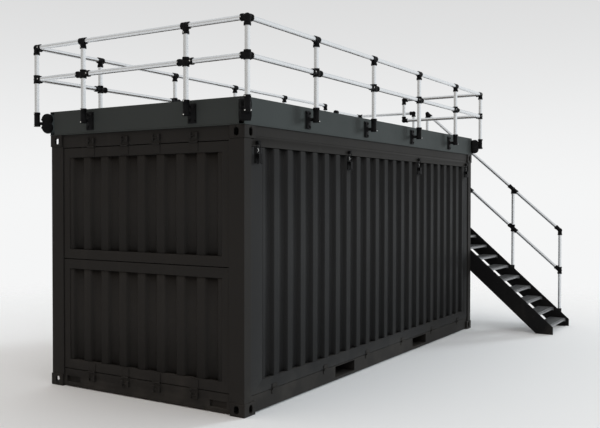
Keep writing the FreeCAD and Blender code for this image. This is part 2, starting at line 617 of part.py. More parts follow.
def latch_lever():
    """Handle plate that flares to a forked foot, with an ear each side for the two pivots."""
    top, neck, foot = "pivot_height + cheek_radius", "pivot_height - 57", "pivot_height - 84"
    outline = [("-lever_half", top), ("lever_half", top), ("lever_half", neck), ("lever_foot_half", foot),
               ("lever_foot_half - 17", foot), ("0", f"{foot} + 16"), ("-lever_foot_half + 17", foot),
               ("-lever_foot_half", foot), ("-lever_half", neck)]
    plate = slab("XZ_Plane", outline, "lever_plate", y=latch_y("lever_off"))
    ears = [box((low, high), (latch_y("lever_off"), latch_y("bail_off - 8")),
                ("pivot_height - bail_arm - 9", top))
            for low, high in (("-ear_out", "-ear_in"), ("ear_in", "ear_out"))]
    holes = [rod(f"{radius} + pin_play", "2 * ear_out + 4", ("-ear_out - 2", latch_y(off), height), "x")
             for radius, off, height in (("pivot_radius", "pivot_off", "pivot_height"),
                                         ("bail_radius", "bail_off", "pivot_height - bail_arm"))]
    return cut(fuse(plate, *ears), *holes)


def latch_bail():
    """Closed rod loop: its foot turns in the lever's ears and its top bar goes over the keeper."""
    y, low, high = latch_y("bail_off"), "pivot_height - bail_arm", "bail_top"
    bars = [rod("bail_radius", "2 * bail_half", ("-bail_half", y, height), "x") for height in (low, high)]
    legs = [rod("bail_radius", f"({high}) - ({low})", (x, y, low)) for x in ("-bail_half", "bail_half")]
    knees = [ball("bail_radius", (x, y, z)) for x in ("-bail_half", "bail_half") for z in (low, high)]
    return fuse(*bars, *legs, *knees)


# ---------------------------------------------------------------- parapet and deck
def parapet_run(x, y, outward):
    """Folded panel: a plate with a flange inwards at top and bottom, and a drip lip at its foot.

    x and y are the panel's limits; outward is the side of the plate, such as "-y" or "+x".
    """
    low, high = "body_height", "body_height + parapet_height"
    limits = {"x": list(x), "y": list(y)}
    axis, inner = outward[1], dict(limits)
    index = 0 if outward[0] == "-" else 1
    step = "+" if index == 0 else "-"
    hollow = list(limits[axis])
    hollow[index] = f"{limits[axis][index]} {step} parapet_plate"
    hollow[1 - index] = f"{limits[axis][1 - index]} {step} 1"
    inner[axis] = hollow
    body = box(limits["x"], limits["y"], (low, high))
    pocket = box(inner["x"], inner["y"], (f"{low} + parapet_plate", f"{high} - parapet_plate"))
    edge = limits[axis][index]
    lip = dict(limits)
    lip[axis] = (f"{edge} - lip_out", edge) if index == 0 else (edge, f"{edge} + lip_out")
    return fuse(cut(body, pocket), box(lip["x"], lip["y"], (low, f"{low} + lip_height")))


def parapet():
    end, side = "body_length / 2", "body_width / 2"
    inner = f"{side} - parapet_flange"
    right = parapet_run((f"-({end})", end), (f"-({side})", f"-({inner})"), "-y")
    left = mirrored(right, "y")
    near = parapet_run((f"-({end})", f"-({end}) + parapet_flange"), (f"-({inner})", inner), "-x")
    far = parapet_run((f"{end} - parapet_flange", end), (f"-({inner})", "deck_opening"), "+x")
    node("parapet_panels", group([right, left, near, far]))


def deck():
    joists = [box((f"{k} * joist_pitch - joist_width / 2", f"{k} * joist_pitch + joist_width / 2"),
                  ("-joist_half", "joist_half"), ("body_height", "body_height + joist_height"))
              for k in range(-5, 6)]
    node("deck_joists", group(joists))
    low, step = "body_height + joist_height", "(deck_board_width + deck_board_gap)"
    boards = [box(("-deck_half_length", "deck_half_length"),
                  (f"{k} * {step} - deck_board_width / 2", f"{k} * {step} + deck_board_width / 2"),
                  (low, f"{low} + deck_plate"))
              for k in range(-7, 8)]
    node("deck_boards", group(boards))


# ---------------------------------------------------------------- tube guardrail
LINE_X = "(body_length / 2 + rail_offset)"
LINE_Y = "(body_width / 2 + rail_offset)"
OPPOSITES = (("+x", "-x"), ("+y", "-y"), ("+z", "-z"), ("up", "down"))
DIRECTIONS = {f"{sign}{axis}": (step, axis) for sign, step in (("+", 1), ("-", -1)) for axis in "xyz"}


def tube(length, at, axis="z", slope=False):
    """Guardrail tube with its bore."""
    make = (lambda r, n, p: sloped_rod(r, n, p)) if slope else (lambda r, n, p: rod(r, n, p, axis))
    return cut(make("tube_radius", length, at), make("tube_radius - tube_wall", length, at))


def arm_rods(at, direction, length, radius, skip="0"):
    """A rod from a fitting's centre out along a signed row axis, or up or down the stair's slope."""
    if direction in ("up", "down"):
        run = "cos(atan(stair_rise / stair_going))"
        rise = "sin(atan(stair_rise / stair_going))"
        back = f"({length})" if direction == "down" else f"-({skip})"
        start = (at[0], f"{at[1]} - {back} * {run}", f"{at[2]} - {back} * {rise}")
        return sloped_rod(radius, f"({length}) - ({skip})", start)
    sign, axis = DIRECTIONS[direction]
    index = "xyz".index(axis)
    start = list(at)
    start[index] = f"{at[index]} + ({skip})" if sign > 0 else f"{at[index]} - ({length})"
    return rod(radius, f"({length}) - ({skip})", start, axis)


def boss(at, direction):
    """Flat boss on a collar, which a set screw goes through."""
    return arm_rods(at, direction, "boss_height", "boss_radius", "tube_radius + 2")


def set_screw(at, direction):
    """Socket set screw whose head shows on a boss."""
    return arm_rods(at, direction, "boss_height + screw_height", "screw_radius", "boss_height")


def clamp_fitting(at, arms, bosses=()):
    """Cast clamp: a ball with sleeves and end collars, bored for the tubes.

    arms maps directions to lengths; a pair of opposite arms has one length and one bore right through.
    """
    solid = [ball("ball_radius", at)] + [boss(*place) for place in bosses]
    through = [pair for pair in OPPOSITES if all(way in arms for way in pair)]
    bores = []
    for direction, length in arms.items():
        solid.append(arm_rods(at, direction, length, "collar_radius", f"{length} - collar_length"))
    for pair in OPPOSITES:
        ways = [way for way in pair if way in arms]
        if ways:
            length = arms[ways[0]]
            start, mouth = (f"-({length})", f"-({length}) - bore_over") if len(ways) == 2 else ("0", "0")
            play = "sleeve_play" if pair in through[:1] else "sleeve_play / 2"
            solid.append(arm_rods(at, ways[0], length, "sleeve_radius", start))
            bores.append(arm_rods(at, ways[0], f"{length} + bore_over", f"tube_radius + {play}", mouth))
    return cut(fuse(*solid), *bores)


def post_places():
    """Guard posts between corners: x, y and the direction that faces away from the container."""
    right = [(f"-{LINE_X} + right_first + {k} * right_pitch", f"-{LINE_Y}", "-y") for k in range(4)]
    left = [(f"-{LINE_X} + left_first + {k} * left_pitch", LINE_Y, "+y") for k in range(4)]
    near = [(f"-{LINE_X}", y, "-x") for y in ("-near_half", "near_half")]
    return right, left, near


def opposite(direction):
    return ("-" if direction[0] == "+" else "+") + direction[1]


def wall_bracket(x, y, away):
    """Flange on the parapet, a short arm, and a sleeve that the post stands in."""
    sign, axis = DIRECTIONS[away]
    at = (x, y, "bracket_arm_height")
    sleeve = rod("sleeve_radius", "bracket_high - bracket_low", (x, y, "bracket_low"))
    collars = [rod("collar_radius", "collar_length", (x, y, z))
               for z in ("bracket_low", "bracket_high - collar_length")]
    inward = opposite(away)
    arm = arm_rods(at, inward, "rail_offset - flange_thick / 2", "bracket_arm_radius")
    hub = arm_rods(at, inward, "rail_offset - flange_thick / 2", "hub_radius", "rail_offset - hub_depth")
    wall = [f"{x}", f"{y}"]
    index = "xy".index(axis)
    toward = "-" if sign > 0 else "+"
    face = f"{wall[index]} {toward} rail_offset"
    outer = f"{wall[index]} {toward} (rail_offset - flange_thick)"
    limits = [(f"{wall[0]} - flange_width / 2", f"{wall[0]} + flange_width / 2"),
              (f"{wall[1]} - flange_width / 2", f"{wall[1]} + flange_width / 2")]
    limits[index] = (face, outer) if sign > 0 else (outer, face)
    plate = box(limits[0], limits[1],
                ("flange_centre - flange_height / 2", "flange_centre + flange_height / 2"))
    bore = rod("tube_radius + sleeve_play", "bracket_high - bracket_low",
               (x, y, "bracket_low + socket_floor"))
    spots = [(x, y, z) for z in ("bracket_low + collar_length / 2", "bracket_high - collar_length / 2")]
    bosses = [boss(spot, away) for spot in spots]
    screws = [set_screw(spot, away) for spot in spots]
    return cut(fuse(sleeve, *collars, *bosses, arm, hub, plate), bore), screws


def corner_bracket():
    """Two-lobed casting across a parapet corner, a diagonal arm and the corner post's sleeve, at +X +Y."""
    end, side, height = "body_length / 2", "body_width / 2", "bracket_arm_height"
    across = FreeCAD.Rotation(Z_AXIS, FreeCAD.Vector(-1, 1, 0))
    lobes = []
    for rise in ("-corner_lobe_rise", "corner_lobe_rise"):
        start = [f"{middle} + (corner_lobe_out {sign} corner_lobe_width / 2) / sqrt(2)"
                 for middle, sign in ((end, "+"), (side, "-"))]
        lobe = rod("corner_lobe", "corner_lobe_width", (*start, f"{height} + {rise}"))
        lobe.Placement.Rotation = across
        lobes.append(lobe)
    arm = rod("bracket_arm_radius", "rail_offset * sqrt(2) - 10", (end, side, height))
    arm.Placement.Rotation = FreeCAD.Rotation(Z_AXIS, FreeCAD.Vector(1, 1, 0))
    sleeve = rod("sleeve_radius", "bracket_high - bracket_low", (LINE_X, LINE_Y, "bracket_low"))
    collars = [rod("collar_radius", "collar_length", (LINE_X, LINE_Y, z))
               for z in ("bracket_low", "bracket_high - collar_length")]
    bore = rod("tube_radius + sleeve_play", "bracket_high - bracket_low",
               (LINE_X, LINE_Y, "bracket_low + socket_floor"))
    reach = "2 * corner_lobe"
    inside = box((f"{end} - {reach}", end), (f"{side} - {reach}", side),
                 (f"{height} - {reach}", f"{height} + {reach}"))
    bosses = [boss(spot, way) for spot in corner_screw_spots() for way in ("+x", "+y")]
    return cut(fuse(*lobes, arm, sleeve, *collars, *bosses), bore, inside)


def corner_screw_spots():
    return [(LINE_X, LINE_Y, z)
            for z in ("bracket_low + collar_length / 2", "bracket_high - collar_length / 2")]


def guard_posts_and_brackets():
    right, left, near = post_places()
    foot, head = "bracket_low + socket_floor", "top_rail_height - tube_radius - 2"
    posts, brackets, screws = [], [], []
    for x, y, away in right + left + near:
        posts.append(tube(f"{head} - ({foot})", (x, y, foot)))
        bracket, pair = wall_bracket(x, y, away)
        brackets.append(bracket)
        screws += pair
    posts += four_corners(tube(f"{head} - ({foot})", (LINE_X, LINE_Y, foot)))
    node("guard_posts", group(posts))
    node("wall_post_brackets", group(brackets))
    node("corner_post_brackets", group(four_corners(corner_bracket())))
    for spot in corner_screw_spots():
        for way in ("+x", "+y"):
            screws += four_corners(set_screw(spot, way))
    return screws


def guard_rails():
    """Top rails run from corner to corner; mid rails are cut at every post."""
    right, left, near = post_places()
    gap = "tube_radius + 2"
    top, mid = "top_rail_height", "mid_rail_height"
    tops = [tube(f"2 * {LINE_X} - 2 * ({gap})", (f"-{LINE_X} + {gap}", y, top), "x")
            for y in (f"-{LINE_Y}", LINE_Y)]
    tops.append(tube(f"2 * {LINE_Y} - 2 * ({gap})", (f"-{LINE_X}", f"-{LINE_Y} + {gap}", top), "y"))
    far_length = f"return_y + {LINE_Y} - 2 * ({gap})"
    tops.append(tube(far_length, (LINE_X, f"-{LINE_Y} + {gap}", top), "y"))
    node("guard_top_rails", group(tops))
    mids = [tube(far_length, (LINE_X, f"-{LINE_Y} + {gap}", mid), "y")]
    for row, y in ((right, f"-{LINE_Y}"), (left, LINE_Y)):
        stops = [f"-{LINE_X}"] + [place[0] for place in row] + [LINE_X]
        mids += [tube(f"({b}) - ({a}) - 2 * ({gap})", (f"{a} + {gap}", y, mid), "x")
                 for a, b in zip(stops, stops[1:])]
    stops = [f"-{LINE_Y}"] + [place[1] for place in near] + [LINE_Y]
    mids += [tube(f"({b}) - ({a}) - 2 * ({gap})", (f"-{LINE_X}", f"{a} + {gap}", mid), "y")
             for a, b in zip(stops, stops[1:])]
    node("guard_mid_rails", group(mids))
    closing = tube(f"{top} - {mid} - 2 * ({gap})", (LINE_X, "return_y", f"{mid} + {gap}"))
    node("rail_return_tube", closing)


def guard_fittings():
    right, left, near = post_places()
    tees, crosses, screws = [], [], []
    for x, y, away in right + left + near:
        along = ("-y", "+y") if away[1] == "x" else ("-x", "+x")
        top, mid = (x, y, "top_rail_height"), (x, y, "mid_rail_height")
        index = "xyz".index(along[0][1])
        low = (x, y, "top_rail_height - arm - 12 + collar_length / 2")
        ends = [list(mid), list(mid)]
        for spot, sign in zip(ends, "-+"):
            spot[index] = f"{mid[index]} {sign} (long_arm - collar_length / 2)"
        tees.append(clamp_fitting(top, {"-z": "arm + 12", along[0]: "arm - 20", along[1]: "arm - 20"},
                                  [(low, away)]))
        crosses.append(clamp_fitting(mid, {"-z": "arm - 20", "+z": "arm - 20", along[0]: "long_arm",
                                           along[1]: "long_arm"}, [(spot, away) for spot in ends]))
        screws += [set_screw(spot, away) for spot in [low] + ends]
    node("guard_top_tees", group(tees))
    node("guard_mid_crosses", group(crosses))
    corners = []
    for height, upright in (("top_rail_height", {"-z": "arm + 12"}),
                            ("mid_rail_height", {"-z": "arm - 20", "+z": "arm - 20"})):
        at = (LINE_X, LINE_Y, height)
        on_x = ((f"{LINE_X} - arm + collar_length / 2", LINE_Y, height), "+y")
        on_y = ((LINE_X, f"{LINE_Y} - arm + collar_length / 2", height), "+x")
        full = clamp_fitting(at, {**upright, "-x": "arm", "-y": "arm"}, [on_x, on_y])
        corners += [mirrored(full, "x"), mirrored(full, "y"), mirrored(mirrored(full, "x"), "y")]
        corners.append(clamp_fitting(at, {**upright, "-x": "arm"}, [on_x]))
        screws += four_corners(set_screw(*on_x))
        screw = set_screw(*on_y)
        screws += [mirrored(screw, "x"), mirrored(screw, "y"), mirrored(mirrored(screw, "x"), "y")]
    node("guard_corner_fittings", group(corners))
    elbows = [clamp_fitting((LINE_X, "return_y", "top_rail_height"), {"-z": "arm + 12", "-y": "arm"}),
              clamp_fitting((LINE_X, "return_y", "mid_rail_height"), {"+z": "arm", "-y": "arm"})]
    node("rail_return_elbows", group(elbows))
    return screws


# ---------------------------------------------------------------- stair and landing
STAIR_IN = "(body_length / 2 + stair_gap)"
STAIR_OUT = "(body_length / 2 + stair_gap + stair_width)"
SLOPE = "(stair_rise / stair_going)"
LANDING_Y = "(nose_y + landing_level * stair_going)"
LANDING_Z = "(nose_height + landing_level * stair_rise)"


def stringers():
    """Sloped plates with a level foot and an upright toe; they end against the landing's front beam."""
    deep = "stringer_depth * sqrt(1 + pow(stair_rise / stair_going; 2))"
    top_y = f"{LANDING_Y} - 1"
    upper = f"nose_height + stringer_over + {SLOPE} * ({top_y} - nose_y)"
    lower_run = f"(stringer_toe - {deep}) / {SLOPE}"
    points = [("stair_foot_y", "0"), (f"stair_foot_y - {lower_run}", "0"), (top_y, f"{upper} - {deep}"),
              (top_y, upper), ("stair_foot_y", "stringer_toe")]
    inner = slab("YZ_Plane", points, "stringer_plate", x=STAIR_IN)
    outer = slab("YZ_Plane", points, "stringer_plate", x=f"{STAIR_OUT} - stringer_plate")
    node("stair_stringers", group([inner, outer]))
    y = ("stair_foot_y + 40", "stair_foot_y + 240")
    near, far = f"{STAIR_IN} + stringer_plate", f"{STAIR_OUT} - stringer_plate"
    flats = [(near, f"{near} + angle_size"), (f"{far} - angle_size", far)]
    uprights = [(near, f"{near} + angle_plate"), (f"{far} - angle_plate", far)]
    feet = [fuse(box(flat, y, ("0", "angle_plate")), box(upright, y, ("0", "angle_size")))
            for flat, upright in zip(flats, uprights)]
    node("stair_foot_angles", group(feet))


def tread():
    """Open grating tread at the first step: nosing, bearing bars, rear bar and end plates."""
    x = (f"{STAIR_IN} + stringer_plate + 1", f"{STAIR_OUT} - stringer_plate - 1")
    inside = (f"{x[0]} + tread_end_plate / 2", f"{x[1]} - tread_end_plate / 2")
    z = ("nose_height - tread_height", "nose_height")
    back = "nose_y + tread_depth"
    pieces = [box((x[0], f"{x[0]} + tread_end_plate"), ("nose_y", back), (f"{z[0]} - 18", z[1])),
              box((f"{x[1]} - tread_end_plate", x[1]), ("nose_y", back), (f"{z[0]} - 18", z[1])),
              box(inside, ("nose_y", "nose_y + tread_nose"), (f"{z[1]} - tread_bar", z[1])),
              box(inside, ("nose_y", "nose_y + tread_bar"), z)]
    for k in range(1, 7):
        bar = f"nose_y + {k} * (tread_depth - tread_bar) / 6"
        pieces.append(box(inside, (bar, f"{bar} + tread_bar"), z))
    span = f"(({x[1]}) - ({x[0]}))"
    for k in range(1, 12):
        rib = f"{x[0]} + {k} * {span} / 12"
        pieces.append(box((f"{rib} - 3", f"{rib} + 3"), ("nose_y + 2", f"{back} - 2"),
                          (f"{z[1]} - 10", f"{z[1]} - 1")))
    return fuse(*pieces)


def treads():
    first = tread()
    steps = [moved(first, y=f"{k} * stair_going", z=f"{k} * stair_rise")
             for k in range(int(value_of("landing_level")))]
    node("stair_treads", group(steps))


def landing():
    """Welded beam frame with its grating, on two legs; bolted to the container's end."""
    x, y = (STAIR_IN, STAIR_OUT), (LANDING_Y, "landing_back")
    top = f"{LANDING_Z} - tread_height"
    z = (f"{top} - landing_beam", top)
    outer = box(x, y, z)
    hole = box((f"{x[0]} + landing_plate", f"{x[1]} - landing_plate"),
               (f"{y[0]} + landing_plate", f"{y[1]} - landing_plate"), (f"{z[0]} - 1", f"{z[1]} + 1"))
    bearer = f"({x[0]} + {x[1]}) / 2"
    frame = fuse(cut(outer, hole), box((f"{bearer} - 5", f"{bearer} + 5"), y, z))
    node("landing_frame", frame)
    deck_z = (top, LANDING_Z)
    edge = [box((x[0], f"{x[0]} + tread_bar"), y, deck_z), box((f"{x[1]} - tread_bar", x[1]), y, deck_z),
            box(x, (y[0], f"{y[0]} + tread_nose"), (f"{deck_z[1]} - tread_bar", deck_z[1]))]
    for k in range(25):
        bar = f"{y[0]} + {k} * ({y[1]} - {y[0]} - tread_bar) / 24"
        edge.append(box(x, (bar, f"{bar} + tread_bar"), deck_z))
    for k in range(1, 12):
        rib = f"{x[0]} + {k} * stair_width / 12"
        edge.append(box((f"{rib} - 3", f"{rib} + 3"), (f"{y[0]} + 2", f"{y[1]} - 2"),
                        (f"{deck_z[1]} - 10", f"{deck_z[1]} - 1")))
    node("landing_grating", fuse(*edge))
    legs = []
    for low in (f"{y[0]} + leg_back", f"{y[1]} - 30 - leg_size"):
        middle = (f"{x[1]} - leg_size / 2", f"{low} + leg_size / 2")
        post = box((f"{middle[0]} - leg_size / 2", f"{middle[0]} + leg_size / 2"), (low, f"{low} + leg_size"),
                   ("foot_plate", z[0]))
        bore = box((f"{middle[0]} - leg_size / 2 + 4", f"{middle[0]} + leg_size / 2 - 4"),
                   (f"{low} + 4", f"{low} + leg_size - 4"), ("foot_plate + 1", f"{z[0]} - leg_cap"))
        foot = box((f"{middle[0]} - leg_foot / 2", f"{middle[0]} + leg_foot / 2"),
                   (f"{middle[1]} - leg_foot / 2", f"{middle[1]} + leg_foot / 2"), ("0", "foot_plate"))
        legs.append(fuse(cut(post, bore), foot))
    node("landing_legs", group(legs))


def handrail_height(y):
    """Height of the stair's top rail above a place along the stair."""
    return f"(nose_height + stair_rail_rise + {SLOPE} * ({y} - nose_y))"


def stair_handrail():
    x = f"({STAIR_OUT} + handrail_out)"
    length = "sqrt(1 + pow(stair_rise / stair_going; 2))"
    places = [f"(stair_post_first + {k} * stair_post_pitch)" for k in range(4)]
    posts, rails, fittings = [], [], []
    for y in places:
        top, side = handrail_height(y), f"(nose_height + {SLOPE} * ({y} - nose_y))"
        foot = f"({side} + stringer_over + 18 - socket_height)"
        posts.append(tube(f"{top} - 30 - {foot}", (x, y, foot)))
        fittings.append(side_socket(x, y, foot))
        slopes = [way for way, stop in (("up", places[-1]), ("down", places[0])) if y != stop]
        fittings.append(clamp_fitting((x, y, top), {"-z": "arm + 12", **{way: "long_arm" for way in slopes}}))
        low_arms = {"-z": "arm - 8", "+z": "arm - 8", **{way: "long_arm" for way in slopes}}
        fittings.append(clamp_fitting((x, y, f"({top} - stair_mid_drop)"), low_arms))
    clear = "56"
    for a, b in zip(places, places[1:]):
        for drop in ("0", "stair_mid_drop"):
            height = f"{handrail_height(a)} - {drop} + {clear} * {SLOPE} / {length}"
            start = (x, f"{a} + {clear} / {length}", height)
            rails.append(tube(f"({b} - {a}) * {length} - 2 * {clear}", start, slope=True))
    landing_posts, landing_rails, landing_fittings = landing_handrail(x)
    node("stair_rail_posts", group(posts + landing_posts))
    node("stair_rail_tubes", group(rails + landing_rails))
    node("stair_rail_fittings", group(fittings + landing_fittings))


def side_socket(x, y, foot):
    """Sleeve on the outer stringer or landing beam, with a flat between sleeve and plate."""
    sleeve = rod("sleeve_radius", "socket_height", (x, y, f"{foot} - 8"))
    pad = box((STAIR_OUT, x), (f"{y} - sleeve_radius", f"{y} + sleeve_radius"),
              (f"{foot} + 5", f"{foot} + socket_height - 60"))
    bore = rod("tube_radius + sleeve_play", "socket_height", (x, y, f"{foot} - 0.5"))
    return cut(fuse(sleeve, pad), bore)


def landing_handrail(x):
    """Level rail along the landing's outer edge and its return towards the container."""
    inner = f"({STAIR_IN} + landing_inner_gap)"
    back = "landing_corner_y"
    places = [(x, "landing_post_y"), (x, back), (inner, back)]
    foot = f"({LANDING_Z} - socket_height - 20)"
    posts = [tube(f"landing_rail_height - 26 - {foot}", (px, py, foot)) for px, py in places[:2]]
    floor_foot = f"({LANDING_Z} + 8.5)"
    posts.append(tube(f"landing_rail_height - 26 - {floor_foot}", (inner, back, floor_foot)))
    gap = "tube_radius + 2"
    rails = []
    for height in ("landing_rail_height", "landing_mid_height"):
        rails.append(tube(f"landing_corner_y - landing_post_y - 2 * ({gap})",
                          (x, f"landing_post_y + {gap}", height), "y"))
        rails.append(tube(f"{x} - {inner} - 2 * ({gap})", (f"{inner} + {gap}", back, height), "x"))
    fittings = [side_socket(px, py, foot) for px, py in places[:2]]
    socket = rod("sleeve_radius", "70", (inner, back, LANDING_Z))
    base = box((f"{inner} - 55", f"{inner} + 55"), (f"{back} - 35", f"{back} + 35"),
               (LANDING_Z, f"{LANDING_Z} + 8"))
    hole = rod("tube_radius + sleeve_play", "80", (inner, back, f"{LANDING_Z} + 8"))
    fittings.append(cut(fuse(socket, base), hole))
    top_arms = [{"-z": "arm", "+y": "arm"}, {"-z": "arm", "-y": "arm", "-x": "arm"},
                {"-z": "arm", "+x": "arm"}]
    for (px, py), arms in zip(places, top_arms):
        fittings.append(clamp_fitting((px, py, "landing_rail_height"), arms))
        mid_arms = {**arms, "-z": "arm - 20", "+z": "arm - 20"}
        fittings.append(clamp_fitting((px, py, "landing_mid_height"), mid_arms))
    return posts, rails, fittings


# ---------------------------------------------------------------- build, check and write
def build():
    corner_castings()
    corner_posts()
    bottom_side_rails()
    end_sills()
    top_side_rails()
    end_headers()
    floor()
    left_wall()
    far_end_wall()
    roof_sheet()
    end_flap("upper_flap", "flap_split_high", "flap_high")
    end_flap("lower_flap", "flap_low", "flap_split_low")
    side_wall()
    hinges()
    latches()
    parapet()
    deck()
    screws = guard_posts_and_brackets()
    guard_rails()
    screws += guard_fittings()
    node("set_screws", group(screws))
    stringers()
    treads()
    landing()
    stair_handrail()
    doc.recompute()


def check():
    """Stop on any failed object and on any sub-part that is empty or invalid."""
    for item in doc.Objects:
        if "Invalid" in item.State or "Error" in item.State:
            raise RuntimeError(f"{item.Name} ({item.Label}) failed: {item.State}")
    for item in nodes:
        shape = item.Shape
        if shape.isNull() or not shape.isValid() or not shape.Solids:
            raise RuntimeError(f"{item.Label} has no valid solid")


build()
check()
os.makedirs("parts", exist_ok=True)
for item in nodes:
    item.Shape.exportStep(f"parts/{item.Label}.step")
print(len(nodes), "sub-parts,", sum(len(item.Shape.Solids) for item in nodes), "solids")
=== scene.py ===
"""Looks of a twenty-foot container with opening walls, a roof terrace, a tube guardrail and a stair.

Metres; +X points to the stair end, +Y to the fixed long wall, +Z up.
"""
import json
import math

import bmesh
import bpy
from mathutils import Matrix, Vector


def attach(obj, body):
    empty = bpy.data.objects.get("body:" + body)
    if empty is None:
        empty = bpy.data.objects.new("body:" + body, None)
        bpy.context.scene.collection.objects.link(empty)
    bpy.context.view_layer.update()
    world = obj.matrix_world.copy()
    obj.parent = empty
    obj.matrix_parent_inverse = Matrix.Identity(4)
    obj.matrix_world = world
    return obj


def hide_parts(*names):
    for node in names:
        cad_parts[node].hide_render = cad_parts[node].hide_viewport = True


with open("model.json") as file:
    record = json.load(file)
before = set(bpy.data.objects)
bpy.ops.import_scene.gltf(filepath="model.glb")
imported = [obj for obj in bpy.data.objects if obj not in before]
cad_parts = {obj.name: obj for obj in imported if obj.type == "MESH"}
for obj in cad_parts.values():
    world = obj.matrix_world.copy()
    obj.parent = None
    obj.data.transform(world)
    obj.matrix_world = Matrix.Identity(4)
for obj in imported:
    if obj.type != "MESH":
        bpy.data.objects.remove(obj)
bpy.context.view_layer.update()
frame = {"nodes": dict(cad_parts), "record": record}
SCENE = bpy.context.scene
NODES = frame["nodes"]
BODY_OF = {node: body for body, group in frame["record"]["behaviour"]["bodies"].items() for node in group}

# Main sizes, the same as the CAD model's.
HALF_LENGTH, HALF_WIDTH, PANEL_INSET = 3.029, 1.219, 0.020
SIDE_PITCH, SIDE_RIBS, SIDE_GROOVE = 0.2463, 22, 0.0973
END_PITCH, END_RIBS, END_GROOVE = 0.240, 8, 0.094
RIB_SLOPE, RIB_DEPTH, FLAP_RIB_DEPTH, SHEET = 0.024, 0.036, 0.031, 0.003
STAIR_IN, STAIR_OUT, STEPS, GOING, RISE = 3.035, 4.035, 15, 0.1735, 0.1544
NOSE_Y, NOSE_Z, LANDING_Y, LANDING_Z = -2.355, 0.118, 0.2475, 2.434
GRATING_DEPTH, GRATING_HEIGHT, NOSING = 0.235, 0.032, 0.028
BRACKET_Z, FLANGE, ARM_Z, LOBE_OUT, LOBE_RISE = 2.712, 0.010, 2.715, 0.086, 0.042
LATCH_X, LATCH_PLATE = (-2.800, -0.985, 0.985, 2.800), 0.006
LEAF_FACE = 0.014
HINGE_Z = {"upper_flap": 2.455, "lower_flap": 0.189, "side_wall": 0.1675}
BOARD_PITCH, GROOVE_PITCH, PLYWOOD_WIDTH, DECK_TOP, HALF_JOIST = 0.154, 0.0077, 1.155, 2.656, 0.030

# The backdrop's floor: its own radius, and where it starts and ends to fade.
FLOOR_RADIUS, FADE_FROM, FADE_TO = 45, 3.6, 10.5

# How the meshes are made.
WELD = 0.00002
FLAT, EASED_FROM, SMOOTH_BELOW = math.radians(0.4), math.radians(40), math.radians(32)
COLUMN, BEND_IN, BEND_OUT, RUN_OVER = 0.0045, 0.003, 0.010, 0.01


def link(thing):
    SCENE.collection.objects.link(thing)
    return thing


# ---------------------------------------------------------------- camera, light and floor
def place_camera():
    lens = bpy.data.cameras.new("camera")
    lens.lens, lens.sensor_width, lens.shift_x, lens.clip_end = 48.66, 36, 0.0797, 300
    camera = link(bpy.data.objects.new("camera", lens))
    camera.location = (-8.907, -5.207, 1.934)
    turn, tilt = math.radians(33.608), math.radians(-1.065)
    ahead = Vector((math.cos(tilt) * math.cos(turn), math.cos(tilt) * math.sin(turn), math.sin(tilt)))
    camera.rotation_euler = ahead.to_track_quat("-Z", "Y").to_euler()
    SCENE.camera = camera


place_camera()
SCENE.view_settings.view_transform = "Standard"


# ---------------------------------------------------------------- nodes as expressions
class Wire:
    """An output socket that can be used in sums."""

    def __init__(self, tree, socket):
        self.tree, self.socket = tree, socket

    def __add__(self, other):
        return self.tree.math("ADD", self, other)

    def __sub__(self, other):
        return self.tree.math("SUBTRACT", self, other)

    def __mul__(self, other):
        return self.tree.math("MULTIPLY", self, other)

    def __truediv__(self, other):
        return self.tree.math("DIVIDE", self, other)

    def __radd__(self, other):
        return self.tree.math("ADD", other, self)

    def __rsub__(self, other):
        return self.tree.math("SUBTRACT", other, self)

    def __rmul__(self, other):
        return self.tree.math("MULTIPLY", other, self)

    def floor(self):
        return self.tree.math("FLOOR", self)

    def size(self):
        return self.tree.math("ABSOLUTE", self)

    def clamp(self):
        return self.tree.ramped(self, 0, 1, "LINEAR")

    def rise(self, low, high):
        """0 below low, 1 above high, smooth between."""
        return self.tree.ramped(self, low, high, "SMOOTHSTEP")


class Tree:
    """Nodes of one finish or one shape, each added by one call."""

    def __init__(self, group):
        self.group = group

    def add(self, kind, settings=None, inputs=None):
        node = self.group.nodes.new(kind)
        for name, value in (settings or {}).items():
            setattr(node, name, value)
        for key, value in (inputs or {}).items():
            self.feed(node.inputs[key], value)
        return node

    def feed(self, socket, value):
        if isinstance(value, Wire):
            self.group.links.new(value.socket, socket)
        else:
            socket.default_value = value

    def out(self, node, key=0):
        return Wire(self, node.outputs[key])

    def math(self, operation, *values):
        return self.out(self.add("ShaderNodeMath", {"operation": operation}, dict(enumerate(values))))

    def ramped(self, value, low, high, how):
        inputs = {"Value": value, "From Min": low, "From Max": high}
        return self.out(self.add("ShaderNodeMapRange", {"interpolation_type": how, "clamp": True}, inputs))

    def parts(self, vector):
        node = self.add("ShaderNodeSeparateXYZ", inputs={0: vector})
        return [self.out(node, i) for i in range(3)]

    def joined(self, x, y, z):
        return self.out(self.add("ShaderNodeCombineXYZ", inputs={0: x, 1: y, 2: z}))

    def blended(self, one, other, share):
        node = self.add("ShaderNodeMix", {"data_type": "RGBA"})
        for key, value in ((6, one), (7, other), (0, share)):
            self.feed(node.inputs[key], value)
        return Wire(self, node.outputs[2])

    def stretched(self, vector, scale):
        return self.out(self.add("ShaderNodeVectorMath", {"operation": "MULTIPLY"}, {0: vector, 1: scale}))


